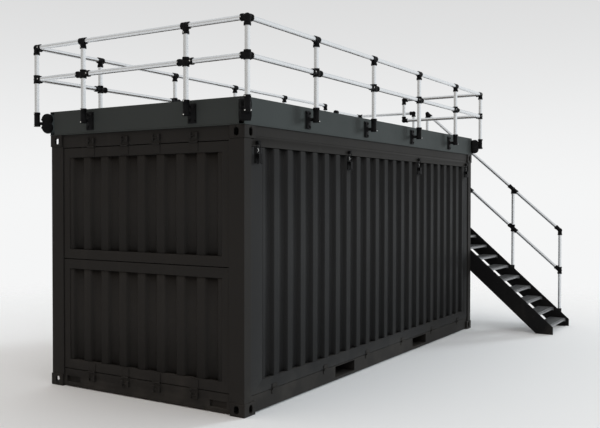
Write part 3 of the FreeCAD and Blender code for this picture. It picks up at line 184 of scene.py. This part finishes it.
class Finish(Tree):
    """A material: its place on the object, its patterns and its surface."""

    def __init__(self, name):
        self.material = bpy.data.materials.new(name)
        self.material.use_nodes = True
        super().__init__(self.material.node_tree)
        self.group.nodes.clear()
        self.place = self.out(self.add("ShaderNodeTexCoord"), "Object")

    def noise(self, scale, detail=3, stretch=None):
        """Cloudy unevenness, drawn out along an axis where stretch says so."""
        place = self.stretched(self.place, stretch) if stretch else self.place
        inputs = {"Vector": place, "Scale": scale, "Detail": detail, "Roughness": 0.55}
        return self.out(self.add("ShaderNodeTexNoise", inputs=inputs))

    def cells(self, scale):
        """A different level in each cell of a crystal pattern."""
        node = self.add("ShaderNodeTexVoronoi", {"feature": "F1"}, {"Vector": self.place, "Scale": scale})
        return self.parts(self.out(node, "Color"))[0]

    def level(self, *numbers):
        """A random level for each whole number."""
        place = self.joined(*(list(numbers) + [0, 0, 0])[:3])
        return self.out(self.add("ShaderNodeTexWhiteNoise", {"noise_dimensions": "3D"}, {"Vector": place}))

    def facing_up(self):
        normal = self.out(self.add("ShaderNodeNewGeometry"), "Normal")
        return self.parts(normal)[2].rise(0.55, 0.95)

    def bumped(self, height, depth, strength=1.0):
        inputs = {"Height": height, "Distance": depth, "Strength": strength}
        return self.out(self.add("ShaderNodeBump", inputs=inputs))

    def surface(self, colour, roughness, metal=0.0, normal=None, gloss=0.5):
        inputs = {"Base Color": colour, "Roughness": roughness, "Metallic": metal,
                  "Specular IOR Level": gloss}
        if normal:
            inputs["Normal"] = normal
        shader = self.add("ShaderNodeBsdfPrincipled", inputs=inputs)
        output = self.add("ShaderNodeOutputMaterial")
        self.group.links.new(shader.outputs[0], output.inputs["Surface"])
        return self.material


def shade(colour, level):
    return tuple(channel * level for channel in colour[:3]) + (1,)


# ---------------------------------------------------------------- finishes
DUST = (0.16, 0.145, 0.125, 1)


def paint(name, colour, sheen=0.46, dust=0.3, gloss=0.03):
    """Sprayed steel: faint cloudy tone, rain runs, dust on top faces and near the ground, orange peel."""
    f = Finish(name)
    height = f.parts(f.place)[2]
    cloud, patch = f.noise(0.8, 4), f.noise(4.5, 5)
    runs = f.noise(1.2, 6, (7, 7, 0.3)).rise(0.55, 0.82)
    splash = (1 - height.rise(0.03, 0.5)) * patch.rise(0.4, 0.7)
    dirt = ((runs * 0.16 + f.facing_up() * patch * 0.7 + splash * 0.3) * dust).clamp()
    tone = f.blended(shade(colour, 0.84), shade(colour, 1.18), cloud)
    speck = f.noise(70, 2).rise(0.66, 0.74) * 0.05
    tone = f.blended(tone, DUST, (dirt + speck * dust).clamp())
    rough = (sheen + (patch - 0.5) * 0.14 + dirt * 0.4).clamp()
    peel = f.noise(420, 2) * 0.35 + f.noise(55, 3) * 0.65
    return f.surface(tone, rough, 0, f.bumped(peel, 0.0006, 0.35), gloss)


def galvanised(name, colour, sheen=0.3, spangle=0.08, wear=0.1):
    """Zinc on steel: flat crystals a few millimetres wide, dull patches and fine drawn lines."""
    f = Finish(name)
    crystal = f.cells(110)
    patch = f.noise(6, 5)
    dull = f.noise(22, 4).rise(0.52, 0.75) * wear
    tone = f.blended(shade(colour, 1 - spangle), shade(colour, 1 + spangle * 0.6), crystal)
    tone = f.blended(tone, shade(colour, 0.55), dull)
    rough = (sheen + (patch - 0.5) * 0.16 + crystal * 0.06 + dull * 0.3).clamp()
    return f.surface(tone, rough, 1.0, f.bumped(crystal * 0.4 + f.noise(600, 2) * 0.6, 0.0002, 0.3))


def cast_black(name, colour):
    """Powder coat over a sand casting."""
    f = Finish(name)
    grain, rub = f.noise(260, 4), f.noise(30, 4).rise(0.62, 0.8)
    tone = f.blended(shade(colour, 0.8), shade(colour, 1.35), grain)
    tone = f.blended(tone, (0.10, 0.10, 0.10, 1), rub * 0.08)
    return f.surface(tone, (0.42 + grain * 0.2 - rub * 0.1).clamp(), 0, f.bumped(grain, 0.0012, 0.4), 0.07)


def bright_zinc(name):
    f = Finish(name)
    haze = f.noise(90, 3)
    tone = f.blended((0.72, 0.72, 0.70, 1), (0.86, 0.86, 0.85, 1), haze)
    return f.surface(tone, (0.16 + haze * 0.16).clamp(), 1.0, f.bumped(f.noise(700, 2), 0.0001, 0.3))


def boards(name, colour, width, along="X", grooved=0.0):
    """Boards side by side: each has its own tone, with long grain, end dirt and fine grooves."""
    f = Finish(name)
    x, y, _ = f.parts(f.place)
    across = y if along == "X" else x
    number = (across / width + 0.5).floor()
    own = f.level(number, number * 3.7)
    stretch = (1.1, 26, 26) if along == "X" else (26, 1.1, 26)
    shifted = f.out(f.add("ShaderNodeVectorMath", {"operation": "ADD"},
                          {0: f.stretched(f.place, stretch), 1: f.joined(own * 9, own * 5, own * 7)}))
    grain = f.out(f.add("ShaderNodeTexNoise", inputs={"Vector": shifted, "Scale": 2.2, "Detail": 7,
                                                      "Roughness": 0.62, "Distortion": 0.35}))
    fibres = f.noise(9, 3, (3, 130, 130) if along == "X" else (130, 3, 130))
    tone = f.blended(shade(colour, 0.62), shade(colour, 1.35), grain.rise(0.3, 0.72))
    tone = f.blended(tone, shade(colour, 0.7), own * 0.4)
    tone = f.blended(tone, DUST, f.noise(2.4, 5).rise(0.5, 0.8) * 0.22)
    relief = grain * 0.5 + fibres * 0.3
    if grooved:
        relief = relief + (f.math("SINE", across * (math.tau / grooved)) * 0.5).rise(-0.2, 0.3) * 1.6
    return f.surface(tone, (0.6 + fibres * 0.22).clamp(), 0, f.bumped(relief, 0.0012, 0.6), 0.35)


FINISHES = {
    # container_paint's warm cast is partly painted light: it stands in for the warm shade light on the open
    # end, beside the neutral wall_paint. The near-black tone itself is the paint's own colour.
    "container_paint": paint("container_paint", (0.0240, 0.0227, 0.0215)),
    "wall_paint": paint("wall_paint", (0.0240, 0.0240, 0.0242)),
    "parapet_paint": paint("parapet_paint", (0.0450, 0.0505, 0.0495), 0.5, gloss=0.05),
    "galvanised_tube": galvanised("galvanised_tube", (0.76, 0.78, 0.80), 0.26, 0.05),
    "fitting_black": cast_black("fitting_black", (0.0055, 0.0055, 0.006)),
    "bright_zinc": bright_zinc("bright_zinc"),
    "latch_black": cast_black("latch_black", (0.004, 0.004, 0.0043)),
    "stair_paint": paint("stair_paint", (0.013, 0.013, 0.0135), 0.42),
    "grating_steel": galvanised("grating_steel", (0.34, 0.35, 0.36), 0.44, 0.12, 0.3),
    "floor_plywood": boards("floor_plywood", (0.22, 0.14, 0.08), PLYWOOD_WIDTH, "Y"),
    "deck_timber": boards("deck_timber", (0.13, 0.112, 0.095), BOARD_PITCH, "X", GROOVE_PITCH),
}
SLOT_OF = {entry["node"]: entry["material_slot"] for entry in frame["record"]["subparts"]}


# ---------------------------------------------------------------- light and floor
def backdrop():
    """Pale surroundings that shade off upwards, and softer daylight from the key side."""
    world = bpy.data.worlds.new("studio")
    SCENE.world = world
    world.use_nodes = True
    t = Tree(world.node_tree)
    world.node_tree.nodes.clear()
    direction = t.out(t.add("ShaderNodeTexCoord"), "Generated")
    x, y, z = t.parts(direction)
    high = z.rise(0.15, 0.80)
    side = (x * 0.72 - y * 0.60).rise(-0.75, 0.75)
    overhead = t.blended((1.14, 1.07, 1.00, 1), (1.07, 1.12, 1.17, 1), side)
    level = t.blended((0.145, 0.075, 0.030, 1), (0.30, 0.34, 0.37, 1), side)
    daylight = t.blended(level, overhead, high)
    glints = t.blended((0.50, 0.48, 0.45, 1), (0.94, 0.96, 0.97, 1), side)
    mirrored = t.blended(glints, (0.74, 0.745, 0.75, 1), high)
    surroundings = t.blended((0.915, 0.920, 0.922, 1), (0.700, 0.702, 0.704, 1), z.rise(-0.02, 0.30))
    path = t.add("ShaderNodeLightPath")
    reflection = t.math("MAXIMUM", t.out(path, "Is Glossy Ray"), t.out(path, "Is Transmission Ray"))
    colour = t.blended(t.blended(daylight, mirrored, reflection), surroundings, t.out(path, "Is Camera Ray"))
    light = t.add("ShaderNodeBackground", inputs={"Color": colour})
    output = t.add("ShaderNodeOutputWorld")
    world.node_tree.links.new(light.outputs[0], output.inputs["Surface"])


def studio_floor():
    """Pale floor that fades into the surroundings away from the object."""
    mesh = bpy.data.meshes.new("studio_floor")
    angles = [math.tau * i / 64 for i in range(64)]
    rim = [(FLOOR_RADIUS * math.cos(a), FLOOR_RADIUS * math.sin(a), -0.0005) for a in angles]
    mesh.from_pydata(rim, [], [range(64)])
    floor = link(bpy.data.objects.new("studio_floor", mesh))
    f = Finish("studio_floor")
    x, y, _ = f.parts(f.place)
    reach = f.math("SQRT", x * x + y * y)
    seen = f.out(f.add("ShaderNodeLightPath"), "Is Camera Ray")
    base = f.add("ShaderNodeBsdfPrincipled", inputs={
        "Base Color": (0.853, 0.86, 0.864, 1), "Roughness": 0.8, "Specular IOR Level": 0.1})
    clear = f.add("ShaderNodeBsdfTransparent")
    blend = f.add("ShaderNodeMixShader", inputs={0: reach.rise(FADE_FROM, FADE_TO) * seen})
    f.group.links.new(base.outputs[0], blend.inputs[1])
    f.group.links.new(clear.outputs[0], blend.inputs[2])
    output = f.add("ShaderNodeOutputMaterial")
    f.group.links.new(blend.outputs[0], output.inputs["Surface"])
    mesh.materials.append(f.material)


def lamp(name, kind, power, place, aim, **settings):
    light = bpy.data.lights.new(name, kind)
    light.energy = power
    for key, value in settings.items():
        setattr(light, key, value)
    thing = link(bpy.data.objects.new(name, light))
    thing.location = place
    thing.rotation_euler = (Vector(aim) - Vector(place)).to_track_quat("-Z", "Y").to_euler()
    thing.visible_glossy = False


backdrop()
studio_floor()
lamp("key", "SUN", 3.35, (11.0, -4.76, 2.47), (0, 0, 1.0),
     angle=math.radians(11), color=(0.88, 0.96, 1.0))


# ---------------------------------------------------------------- pieces from the frame's own shapes
def add_piece(name, mesh, body, slot, stands_for=()):
    """Put a mesh in the scene as a piece of the object."""
    mesh.materials.clear()
    mesh.materials.append(FINISHES[slot])
    piece = link(bpy.data.objects.new(name, mesh))
    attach(piece, body)
    if stands_for:
        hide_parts(*stands_for)
    return piece


def welded_copy(node, paired=False):
    """A node's mesh with its loose triangles joined; paired, level ones become four-sided faces."""
    mesh = NODES[node].data.copy()
    form = bmesh.new()
    form.from_mesh(mesh)
    bmesh.ops.remove_doubles(form, verts=form.verts, dist=WELD)
    if paired:
        bmesh.ops.join_triangles(form, faces=form.faces, angle_face_threshold=FLAT,
                                 angle_shape_threshold=math.pi)
    form.to_mesh(mesh)
    form.free()
    mesh.shade_smooth()
    mesh.set_sharp_from_angle(angle=SMOOTH_BELOW)
    return mesh


def eased(node, width):
    """The node with its edges eased, as folded and dressed steel has them."""
    mesh = welded_copy(node, paired=True)
    piece = add_piece(f"{node}_eased", mesh, BODY_OF[node], SLOT_OF[node], [node])
    bevel = piece.modifiers.new("eased edges", "BEVEL")
    bevel.width, bevel.segments, bevel.limit_method = width, 2, "ANGLE"
    bevel.angle_limit, bevel.harden_normals = EASED_FROM, True
    bevel.use_clamp_overlap, bevel.miter_outer = False, "MITER_ARC"


def turned(node):
    """The node with smooth round faces."""
    add_piece(f"{node}_turned", welded_copy(node), BODY_OF[node], SLOT_OF[node], [node])


# Width of each node's eased edges, small beside its thinnest plate.
EASED = {
    "bottom_corner_castings": 0.005, "top_corner_castings": 0.005, "corner_posts": 0.0025,
    "end_sills": 0.0025, "top_side_rails": 0.0025, "end_headers": 0.0025,
    "upper_flap_frame": 0.0018, "lower_flap_frame": 0.0018, "side_wall_frame": 0.0018,
    "deck_joists": 0.002, "deck_boards": 0.003, "stair_stringers": 0.002,
    "stair_foot_angles": 0.0018, "landing_frame": 0.002, "landing_legs": 0.0015, "latch_keepers": 0.002,
    "floor_cross_members": 0.002, "floor_boards": 0.0006,
}
TURNED = ["guard_posts", "guard_top_rails", "guard_mid_rails", "rail_return_tube", "guard_top_tees",
          "guard_mid_crosses", "guard_corner_fittings", "rail_return_elbows", "wall_post_brackets",
          "corner_post_brackets", "stair_rail_posts", "stair_rail_tubes", "stair_rail_fittings",
          "hinge_fixed_leaves", "hinge_pins", "upper_flap_hinge_leaves", "lower_flap_hinge_leaves",
          "side_wall_hinge_leaves", "hinge_lugs", "latch_bases", "latch_pivot_pins"]
TURNED += [f"latch_{part}_{number}" for part in ("lever", "bail") for number in range(1, 5)]

for node, width in EASED.items():
    eased(node, width)
for node in TURNED:
    turned(node)


# ---------------------------------------------------------------- shapes that repeat
class Shape(Tree):
    """A geometry tree with named sizes, run once to give a plain mesh."""

    KINDS = {int: "NodeSocketInt", float: "NodeSocketFloat"}

    def __init__(self, name, **sizes):
        super().__init__(bpy.data.node_groups.new(name, "GeometryNodeTree"))
        door = self.group.interface
        door.new_socket("Base", in_out="INPUT", socket_type="NodeSocketGeometry")
        door.new_socket("Finish", in_out="INPUT", socket_type="NodeSocketMaterial")
        for size, value in sizes.items():
            door.new_socket(size, in_out="INPUT", socket_type=self.KINDS[type(value)])
        door.new_socket("Shape", in_out="OUTPUT", socket_type="NodeSocketGeometry")
        self.sizes = sizes
        self.given = self.group.nodes.new("NodeGroupInput")

    def size(self, name):
        return self.out(self.given, name)

    def join(self, *shapes):
        node = self.add("GeometryNodeJoinGeometry")
        for shape in shapes:
            self.group.links.new(shape.socket, node.inputs[0])
        return self.out(node)

    def block(self, x, y, z, at):
        """A bar of this size, moved to a place."""
        cube = self.add("GeometryNodeMeshCube", inputs={"Size": self.joined(x, y, z)})
        inputs = {"Geometry": self.out(cube), "Translation": at}
        return self.out(self.add("GeometryNodeTransform", inputs=inputs))

    def row(self, shape, count, step):
        """The shape again and again, a step apart."""
        line = self.add("GeometryNodeMeshLine", inputs={"Count": count, "Offset": step})
        inputs = {"Points": self.out(line), "Instance": shape}
        return self.out(self.add("GeometryNodeInstanceOnPoints", inputs=inputs))

    def close(self, shape):
        """Make the instances real, coat them and send them out."""
        real = self.add("GeometryNodeRealizeInstances", inputs={"Geometry": shape})
        inputs = {"Geometry": self.out(real), "Material": self.size("Finish")}
        coated = self.add("GeometryNodeSetMaterial", inputs=inputs)
        output = self.group.nodes.new("NodeGroupOutput")
        self.group.links.new(coated.outputs[0], output.inputs[0])

    def made(self, name, finish, base=None, **changes):
        """The mesh that the shape gives for these sizes, on a base mesh where it needs one."""
        mesh = base or bpy.data.meshes.new(name)
        carrier = link(bpy.data.objects.new(name, mesh))
        modifier = carrier.modifiers.new("shape", "NODES")
        modifier.node_group = self.group
        values = {**self.sizes, **changes, "Finish": finish}
        for item in self.group.interface.items_tree:
            if item.in_out == "INPUT" and item.name in values:
                modifier[item.identifier] = values[item.name]
        bpy.context.view_layer.update()
        graph = bpy.context.evaluated_depsgraph_get()
        result = bpy.data.meshes.new_from_object(carrier.evaluated_get(graph))
        bpy.data.objects.remove(carrier)
        result.name = name
        return result


def pressed_sheet():
    """Corrugated steel: flats at depth 0, grooves pressed in between soft bends."""
    s = Shape("pressed sheet", Length=1.0, Height=1.0, Run=1.0, Pitch=SIDE_PITCH, Groove=SIDE_GROOVE,
              Slope=RIB_SLOPE, Depth=RIB_DEPTH, Columns=200)
    grid = s.add("GeometryNodeMeshGrid", inputs={
        "Size X": s.size("Length"), "Size Y": s.size("Height"), "Vertices X": s.size("Columns"),
        "Vertices Y": 2})
    x, y, _ = s.parts(s.out(s.add("GeometryNodeInputPosition")))
    turn = x / s.size("Pitch")
    off = (turn - turn.floor() - 0.5).size() * s.size("Pitch")
    edge = s.size("Groove") * 0.5
    wall = s.add("ShaderNodeMapRange", {"interpolation_type": "SMOOTHSTEP"},
                 {"Value": off, "From Min": edge - BEND_IN,
                  "From Max": edge + s.size("Slope") + BEND_OUT, "To Min": 1.0, "To Max": 0.0})
    inside = s.math("LESS_THAN", x.size(), s.size("Run") * 0.5)
    depth = s.out(wall) * s.size("Depth") * inside
    place = s.joined(x, depth, y + s.size("Height") * 0.5)
    moved = s.add("GeometryNodeSetPosition", inputs={"Geometry": s.out(grid), "Position": place})
    s.close(s.out(moved))
    return s


PRESSED = pressed_sheet()


def sheet_piece(node, length, height, place, turn, **sizes):
    """One corrugated sheet, set against the CAD sheet that it stands for."""
    slot = SLOT_OF[node]
    mesh = PRESSED.made(f"{node}_pressed", FINISHES[slot], Length=length, Height=height,
                        Columns=int(length / COLUMN), **sizes)
    mesh.transform(Matrix.Translation(place) @ Matrix.Rotation(math.radians(turn), 4, "Z"))
    mesh.shade_smooth()
    piece = add_piece(f"{node}_pressed", mesh, BODY_OF[node], slot, [node])
    wall = piece.modifiers.new("sheet thickness", "SOLIDIFY")
    wall.thickness, wall.offset = SHEET, -1


SIDE_RUN, END_RUN = SIDE_PITCH * SIDE_RIBS, END_PITCH * END_RIBS
WALL_Y, WALL_X, FLAP_X = HALF_WIDTH - PANEL_INSET, HALF_LENGTH - PANEL_INSET, -(HALF_LENGTH - 0.025)
END_SHEET = {"Pitch": END_PITCH, "Groove": END_GROOVE}
FLAP_SHEET = {**END_SHEET, "Run": END_RUN + RUN_OVER, "Depth": FLAP_RIB_DEPTH}

# Length, height, the middle of the foot, the turn about Z, and what differs from the long wall's ribs.
SHEETS = {
    "side_wall_sheet": (SIDE_RUN, 2.116, (0, -WALL_Y, 0.285), 0, {"Run": SIDE_RUN + RUN_OVER}),
    "left_wall_sheet": (5.798, 2.240, (0, WALL_Y, 0.165), 180, {"Run": SIDE_RUN}),
    "far_end_wall_sheet": (2.090, 2.274, (WALL_X, 0, 0.185), 90, {**END_SHEET, "Run": END_RUN}),
    "upper_flap_sheet": (END_RUN, 0.937, (FLAP_X, 0, 1.419), -90, FLAP_SHEET),
    "lower_flap_sheet": (END_RUN, 0.933, (FLAP_X, 0, 0.288), -90, FLAP_SHEET),
}
for node, (length, height, place, turn, changes) in SHEETS.items():
    sheet_piece(node, length, height, place, turn, **changes)


def grating():
    """Bearing bars with cross bars through their tops, a nosing and end plates; repeated up a flight."""
    s = Shape("open grating", Width=1.0, Depth=GRATING_DEPTH, Bars=8, Bar_Gap=0.033, Crosses=25,
              Cross_Gap=0.038, Height=GRATING_HEIGHT, Nose=NOSING, Drop=0.05, Steps=1, Going=GOING, Rise=RISE)
    w, d, h = s.size("Width"), s.size("Depth"), s.size("Height")
    half = w * 0.5
    bar = s.block(w - 0.004, 0.004, h - 0.003, s.joined(0, 0.004, h * -0.5 - 0.001))
    bars = s.row(bar, s.size("Bars"), s.joined(0, s.size("Bar_Gap"), 0))
    cross = s.block(0.006, d - 0.008, 0.007, s.joined(half * -1 + 0.02, d * 0.5, -0.0045))
    crosses = s.row(cross, s.size("Crosses"), s.joined(s.size("Cross_Gap"), 0, 0))
    nose = s.block(w - 0.002, s.size("Nose"), 0.005, s.joined(0, s.size("Nose") * 0.5, -0.0025))
    ridges = s.row(s.block(w - 0.03, 0.002, 0.0016, s.joined(0, 0.004, -0.0004)), 4, (0, 0.006, 0))
    lip = s.block(w - 0.002, 0.004, h, s.joined(0, 0.002, h * -0.5))
    plate = s.block(0.006, d, s.size("Drop"), s.joined(half * -1 + 0.003, d * 0.5, s.size("Drop") * -0.5))
    plates = s.row(plate, 2, s.joined(w - 0.006, 0, 0))
    tread = s.join(bars, crosses, nose, ridges, lip, plates)
    s.close(s.row(tread, s.size("Steps"), s.joined(0, s.size("Going"), s.size("Rise"))))
    return s


GRATING = grating()
STAIR_MIDDLE = (STAIR_IN + STAIR_OUT) / 2
TREADS = {"Width": 0.978, "Steps": STEPS}
LANDING = {"Width": 1.0, "Depth": 0.9475, "Bars": 28, "Bar_Gap": 0.0343, "Crosses": 26, "Cross_Gap": 0.0384,
           "Drop": GRATING_HEIGHT}
for name, node, changes, y, z in (
        ("stair_tread_gratings", "stair_treads", TREADS, NOSE_Y, NOSE_Z),
        ("landing_deck_grating", "landing_grating", LANDING, LANDING_Y, LANDING_Z)):
    bars = GRATING.made(name, FINISHES["grating_steel"], **changes)
    bars.transform(Matrix.Translation((STAIR_MIDDLE, y, z)))
    add_piece(name, bars, "container", "grating_steel", [node])


# ---------------------------------------------------------------- screws, bolts and rivets
def ring(form, radius, height, count):
    """A level ring of points."""
    angles = [math.tau / count * i for i in range(count)]
    return [form.verts.new((radius * math.cos(a), radius * math.sin(a), height)) for a in angles]


def stack(form, count, *steps):
    """Rings one above the other, from pairs of radius and height."""
    return [ring(form, radius, height, count) for radius, height in steps]


def skin(form, rings, cap_low=True, cap_high=True):
    """Faces between rings, and over the first and the last."""
    for low, high in zip(rings, rings[1:]):
        for i in range(len(low)):
            form.faces.new((low[i], low[i - 1], high[i - 1], high[i]))
    if cap_high:
        form.faces.new(rings[-1])
    if cap_low:
        form.faces.new(rings[0][::-1])


def template(name, build):
    """A small part at the origin that stands along +Z, kept only to be repeated."""
    mesh = bpy.data.meshes.new(name)
    form = bmesh.new()
    build(form)
    bmesh.ops.recalc_face_normals(form, faces=form.faces)
    form.to_mesh(mesh)
    form.free()
    return bpy.data.objects.new(name, mesh)


def hex_bolt(form):
    """Bolt head on a washer, for a shank of 10 mm."""
    skin(form, stack(form, 20, (0.0125, 0), (0.0125, 0.0018), (0.0105, 0.0022)))
    skin(form, stack(form, 6, (0.0098, 0.0021), (0.0098, 0.0075), (0.0082, 0.0085)))


def socket_screw(form):
    """Set screw with a hexagon socket."""
    outer = stack(form, 18, (0.0065, 0), (0.0065, 0.0028), (0.0057, 0.0035))
    skin(form, outer, cap_high=False)
    skin(form, [outer[-1]] + stack(form, 18, (0.0034, 0.0035), (0.0032, 0.0012)), cap_low=False)


def flat_screw(form):
    """Low head of a deck screw."""
    skin(form, stack(form, 10, (0.0048, 0), (0.0046, 0.0006), (0.0030, 0.0012)))


def dome_rivet(form):
    """Domed rivet head."""
    skin(form, stack(form, 12, (0.0048, 0), (0.0047, 0.0008), (0.0036, 0.0019), (0.0016, 0.0025)))


def scattered(head):
    """The same small part on every point, each along its point's facing."""
    s = Shape(f"{head.name} on points")
    facing = s.add("GeometryNodeInputNamedAttribute", {"data_type": "FLOAT_VECTOR"}, {"Name": "facing"})
    turn = s.add("FunctionNodeAlignRotationToVector", {"axis": "Z"}, {"Vector": s.out(facing)})
    part = s.add("GeometryNodeObjectInfo", inputs={"Object": head})
    placed = s.add("GeometryNodeInstanceOnPoints", inputs={
        "Points": s.size("Base"), "Instance": s.out(part, "Geometry"), "Rotation": s.out(turn)})
    s.close(s.out(placed))
    return s


HEADS = {build.__name__: scattered(template(build.__name__, build))
         for build in (hex_bolt, socket_screw, flat_screw, dome_rivet)}


def fasten(name, head, places, body, slot, stands_for=()):
    """Heads of one kind at (place, facing) pairs, as one piece."""
    points = bpy.data.meshes.new(name)
    points.from_pydata([tuple(place) for place, _ in places], [], [])
    facing = points.attributes.new("facing", "FLOAT_VECTOR", "POINT")
    facing.data.foreach_set("vector", [value for _, way in places for value in way])
    mesh = HEADS[head].made(name, FINISHES[slot], base=points)
    mesh.shade_smooth()
    mesh.set_sharp_from_angle(angle=math.radians(30))
    add_piece(name, mesh, body, slot, stands_for)


def islands(node):
    """The low and high corners of each separate solid of a node."""
    form = bmesh.new()
    form.from_mesh(NODES[node].data)
    bmesh.ops.remove_doubles(form, verts=form.verts, dist=WELD)
    left, found = set(form.verts), []
    while left:
        pile, group = [left.pop()], []
        while pile:
            vert = pile.pop()
            group.append(vert.co.copy())
            for edge in vert.link_edges:
                other = edge.other_vert(vert)
                if other in left:
                    left.remove(other)
                    pile.append(other)
        found.append((Vector(map(min, zip(*group))), Vector(map(max, zip(*group)))))
    form.free()
    return sorted(found, key=lambda pair: tuple(round(value, 4) for value in pair[0]))


def screw_places(node):
    """Each set screw's seat, and the level way that it faces: outwards."""
    places = []
    for low, high in islands(node):
        middle, size = (low + high) / 2, high - low
        axis = 0 if size[0] < size[1] else 1
        way = Vector((0, 0, 0))
        way[axis] = math.copysign(1, middle[axis])
        places.append((middle - way * size[axis] / 2, way))
    return places


fasten("guardrail_set_screws", "socket_screw", screw_places("set_screws"), "container", "bright_zinc",
       ["set_screws"])


def flange_bolts():
    """Four bolts through each wall bracket's flange and two on each corner casting's diagonal face."""
    places = []
    spots = [(s, BRACKET_Z + t) for s in (-0.030, 0.030) for t in (-0.068, 0.068)]
    for low, high in islands("wall_post_brackets"):
        middle = (low + high) / 2
        if abs(middle.x) > HALF_LENGTH:
            sign = math.copysign(1, middle.x)
            face = sign * (HALF_LENGTH + FLANGE)
            places += [((face, middle.y + s, z), (sign, 0, 0)) for s, z in spots]
        else:
            sign = math.copysign(1, middle.y)
            face = sign * (HALF_WIDTH + FLANGE)
            places += [((middle.x + s, face, z), (0, sign, 0)) for s, z in spots]
    share = math.sqrt(0.5)
    out = (LOBE_OUT - 0.001) * share
    for sx in (-1, 1):
        for sy in (-1, 1):
            spot = (sx * (HALF_LENGTH + out), sy * (HALF_WIDTH + out))
            way = (sx * share, sy * share, 0)
            places += [((*spot, ARM_Z + t), way) for t in (-LOBE_RISE, LOBE_RISE)]
    return places


def stair_bolts():
    """Bolts that hold the treads to the stringers, and the anchors at the feet."""
    places = []
    for step in range(STEPS):
        y, z = NOSE_Y + step * GOING, NOSE_Z + step * RISE - 0.034
        for along in (0.055, 0.175):
            places += [((STAIR_IN, y + along, z), (-1, 0, 0)), ((STAIR_OUT, y + along, z), (1, 0, 0))]
    for low, high in islands("landing_legs"):
        for x in (low.x + 0.018, high.x - 0.018):
            places += [((x, y, 0.010), (0, 0, 1)) for y in (low.y + 0.018, high.y - 0.018)]
    return [place for place in places if place[0][1] < 0.22 or place[0][2] < 0.1]


fasten("bracket_flange_bolts", "hex_bolt", flange_bolts(), "container", "fitting_black")
fasten("stair_tread_bolts", "hex_bolt", stair_bolts(), "container", "stair_paint")


def latch_rivets():
    """Four rivets through each latch's base plate."""
    face = -(WALL_Y + LATCH_PLATE)
    spots = [(s, z) for s in (-0.027, 0.027) for z in (2.264, 2.388)]
    return [((x + s, face, z), (0, -1, 0)) for x in LATCH_X for s, z in spots]


def leaf_rivets(body, axis_height):
    """Rivets through the plates of the hinge leaves on an end flap or on the long wall."""
    places = []
    for low, high in islands(f"{body}_hinge_leaves"):
        middle = (low + high) / 2
        far = high.z if high.z - axis_height > axis_height - low.z else low.z
        rows = [axis_height + (far - axis_height) * share for share in (0.40, 0.82)]
        for height in rows:
            for s in (-0.032, 0.032):
                if body == "side_wall":
                    places.append(((middle.x + s, -(HALF_WIDTH - LEAF_FACE), height), (0, -1, 0)))
                else:
                    places.append(((-(HALF_LENGTH - LEAF_FACE), middle.y + s, height), (-1, 0, 0)))
    return places


fasten("latch_base_rivets", "dome_rivet", latch_rivets(), "side_wall", "latch_black")
for body, axis_height in HINGE_Z.items():
    fasten(f"{body}_leaf_rivets", "dome_rivet", leaf_rivets(body, axis_height), body, "container_paint")


def deck_screws():
    """Two screws where each deck board crosses a joist."""
    joists = [low.x + HALF_JOIST for low, _ in islands("deck_joists")]
    rows = [board * BOARD_PITCH + s for board in range(-7, 8) for s in (-0.052, 0.052)]
    return [((x, y, DECK_TOP), (0, 0, 1)) for x in joists for y in rows]


fasten("deck_board_screws", "flat_screw", deck_screws(), "container", "bright_zinc")


# ---------------------------------------------------------------- what keeps its CAD shape
for node, slot in SLOT_OF.items():
    thing = NODES[node]
    if not thing.hide_render:
        thing.data.materials.clear()
        thing.data.materials.append(FINISHES[slot])
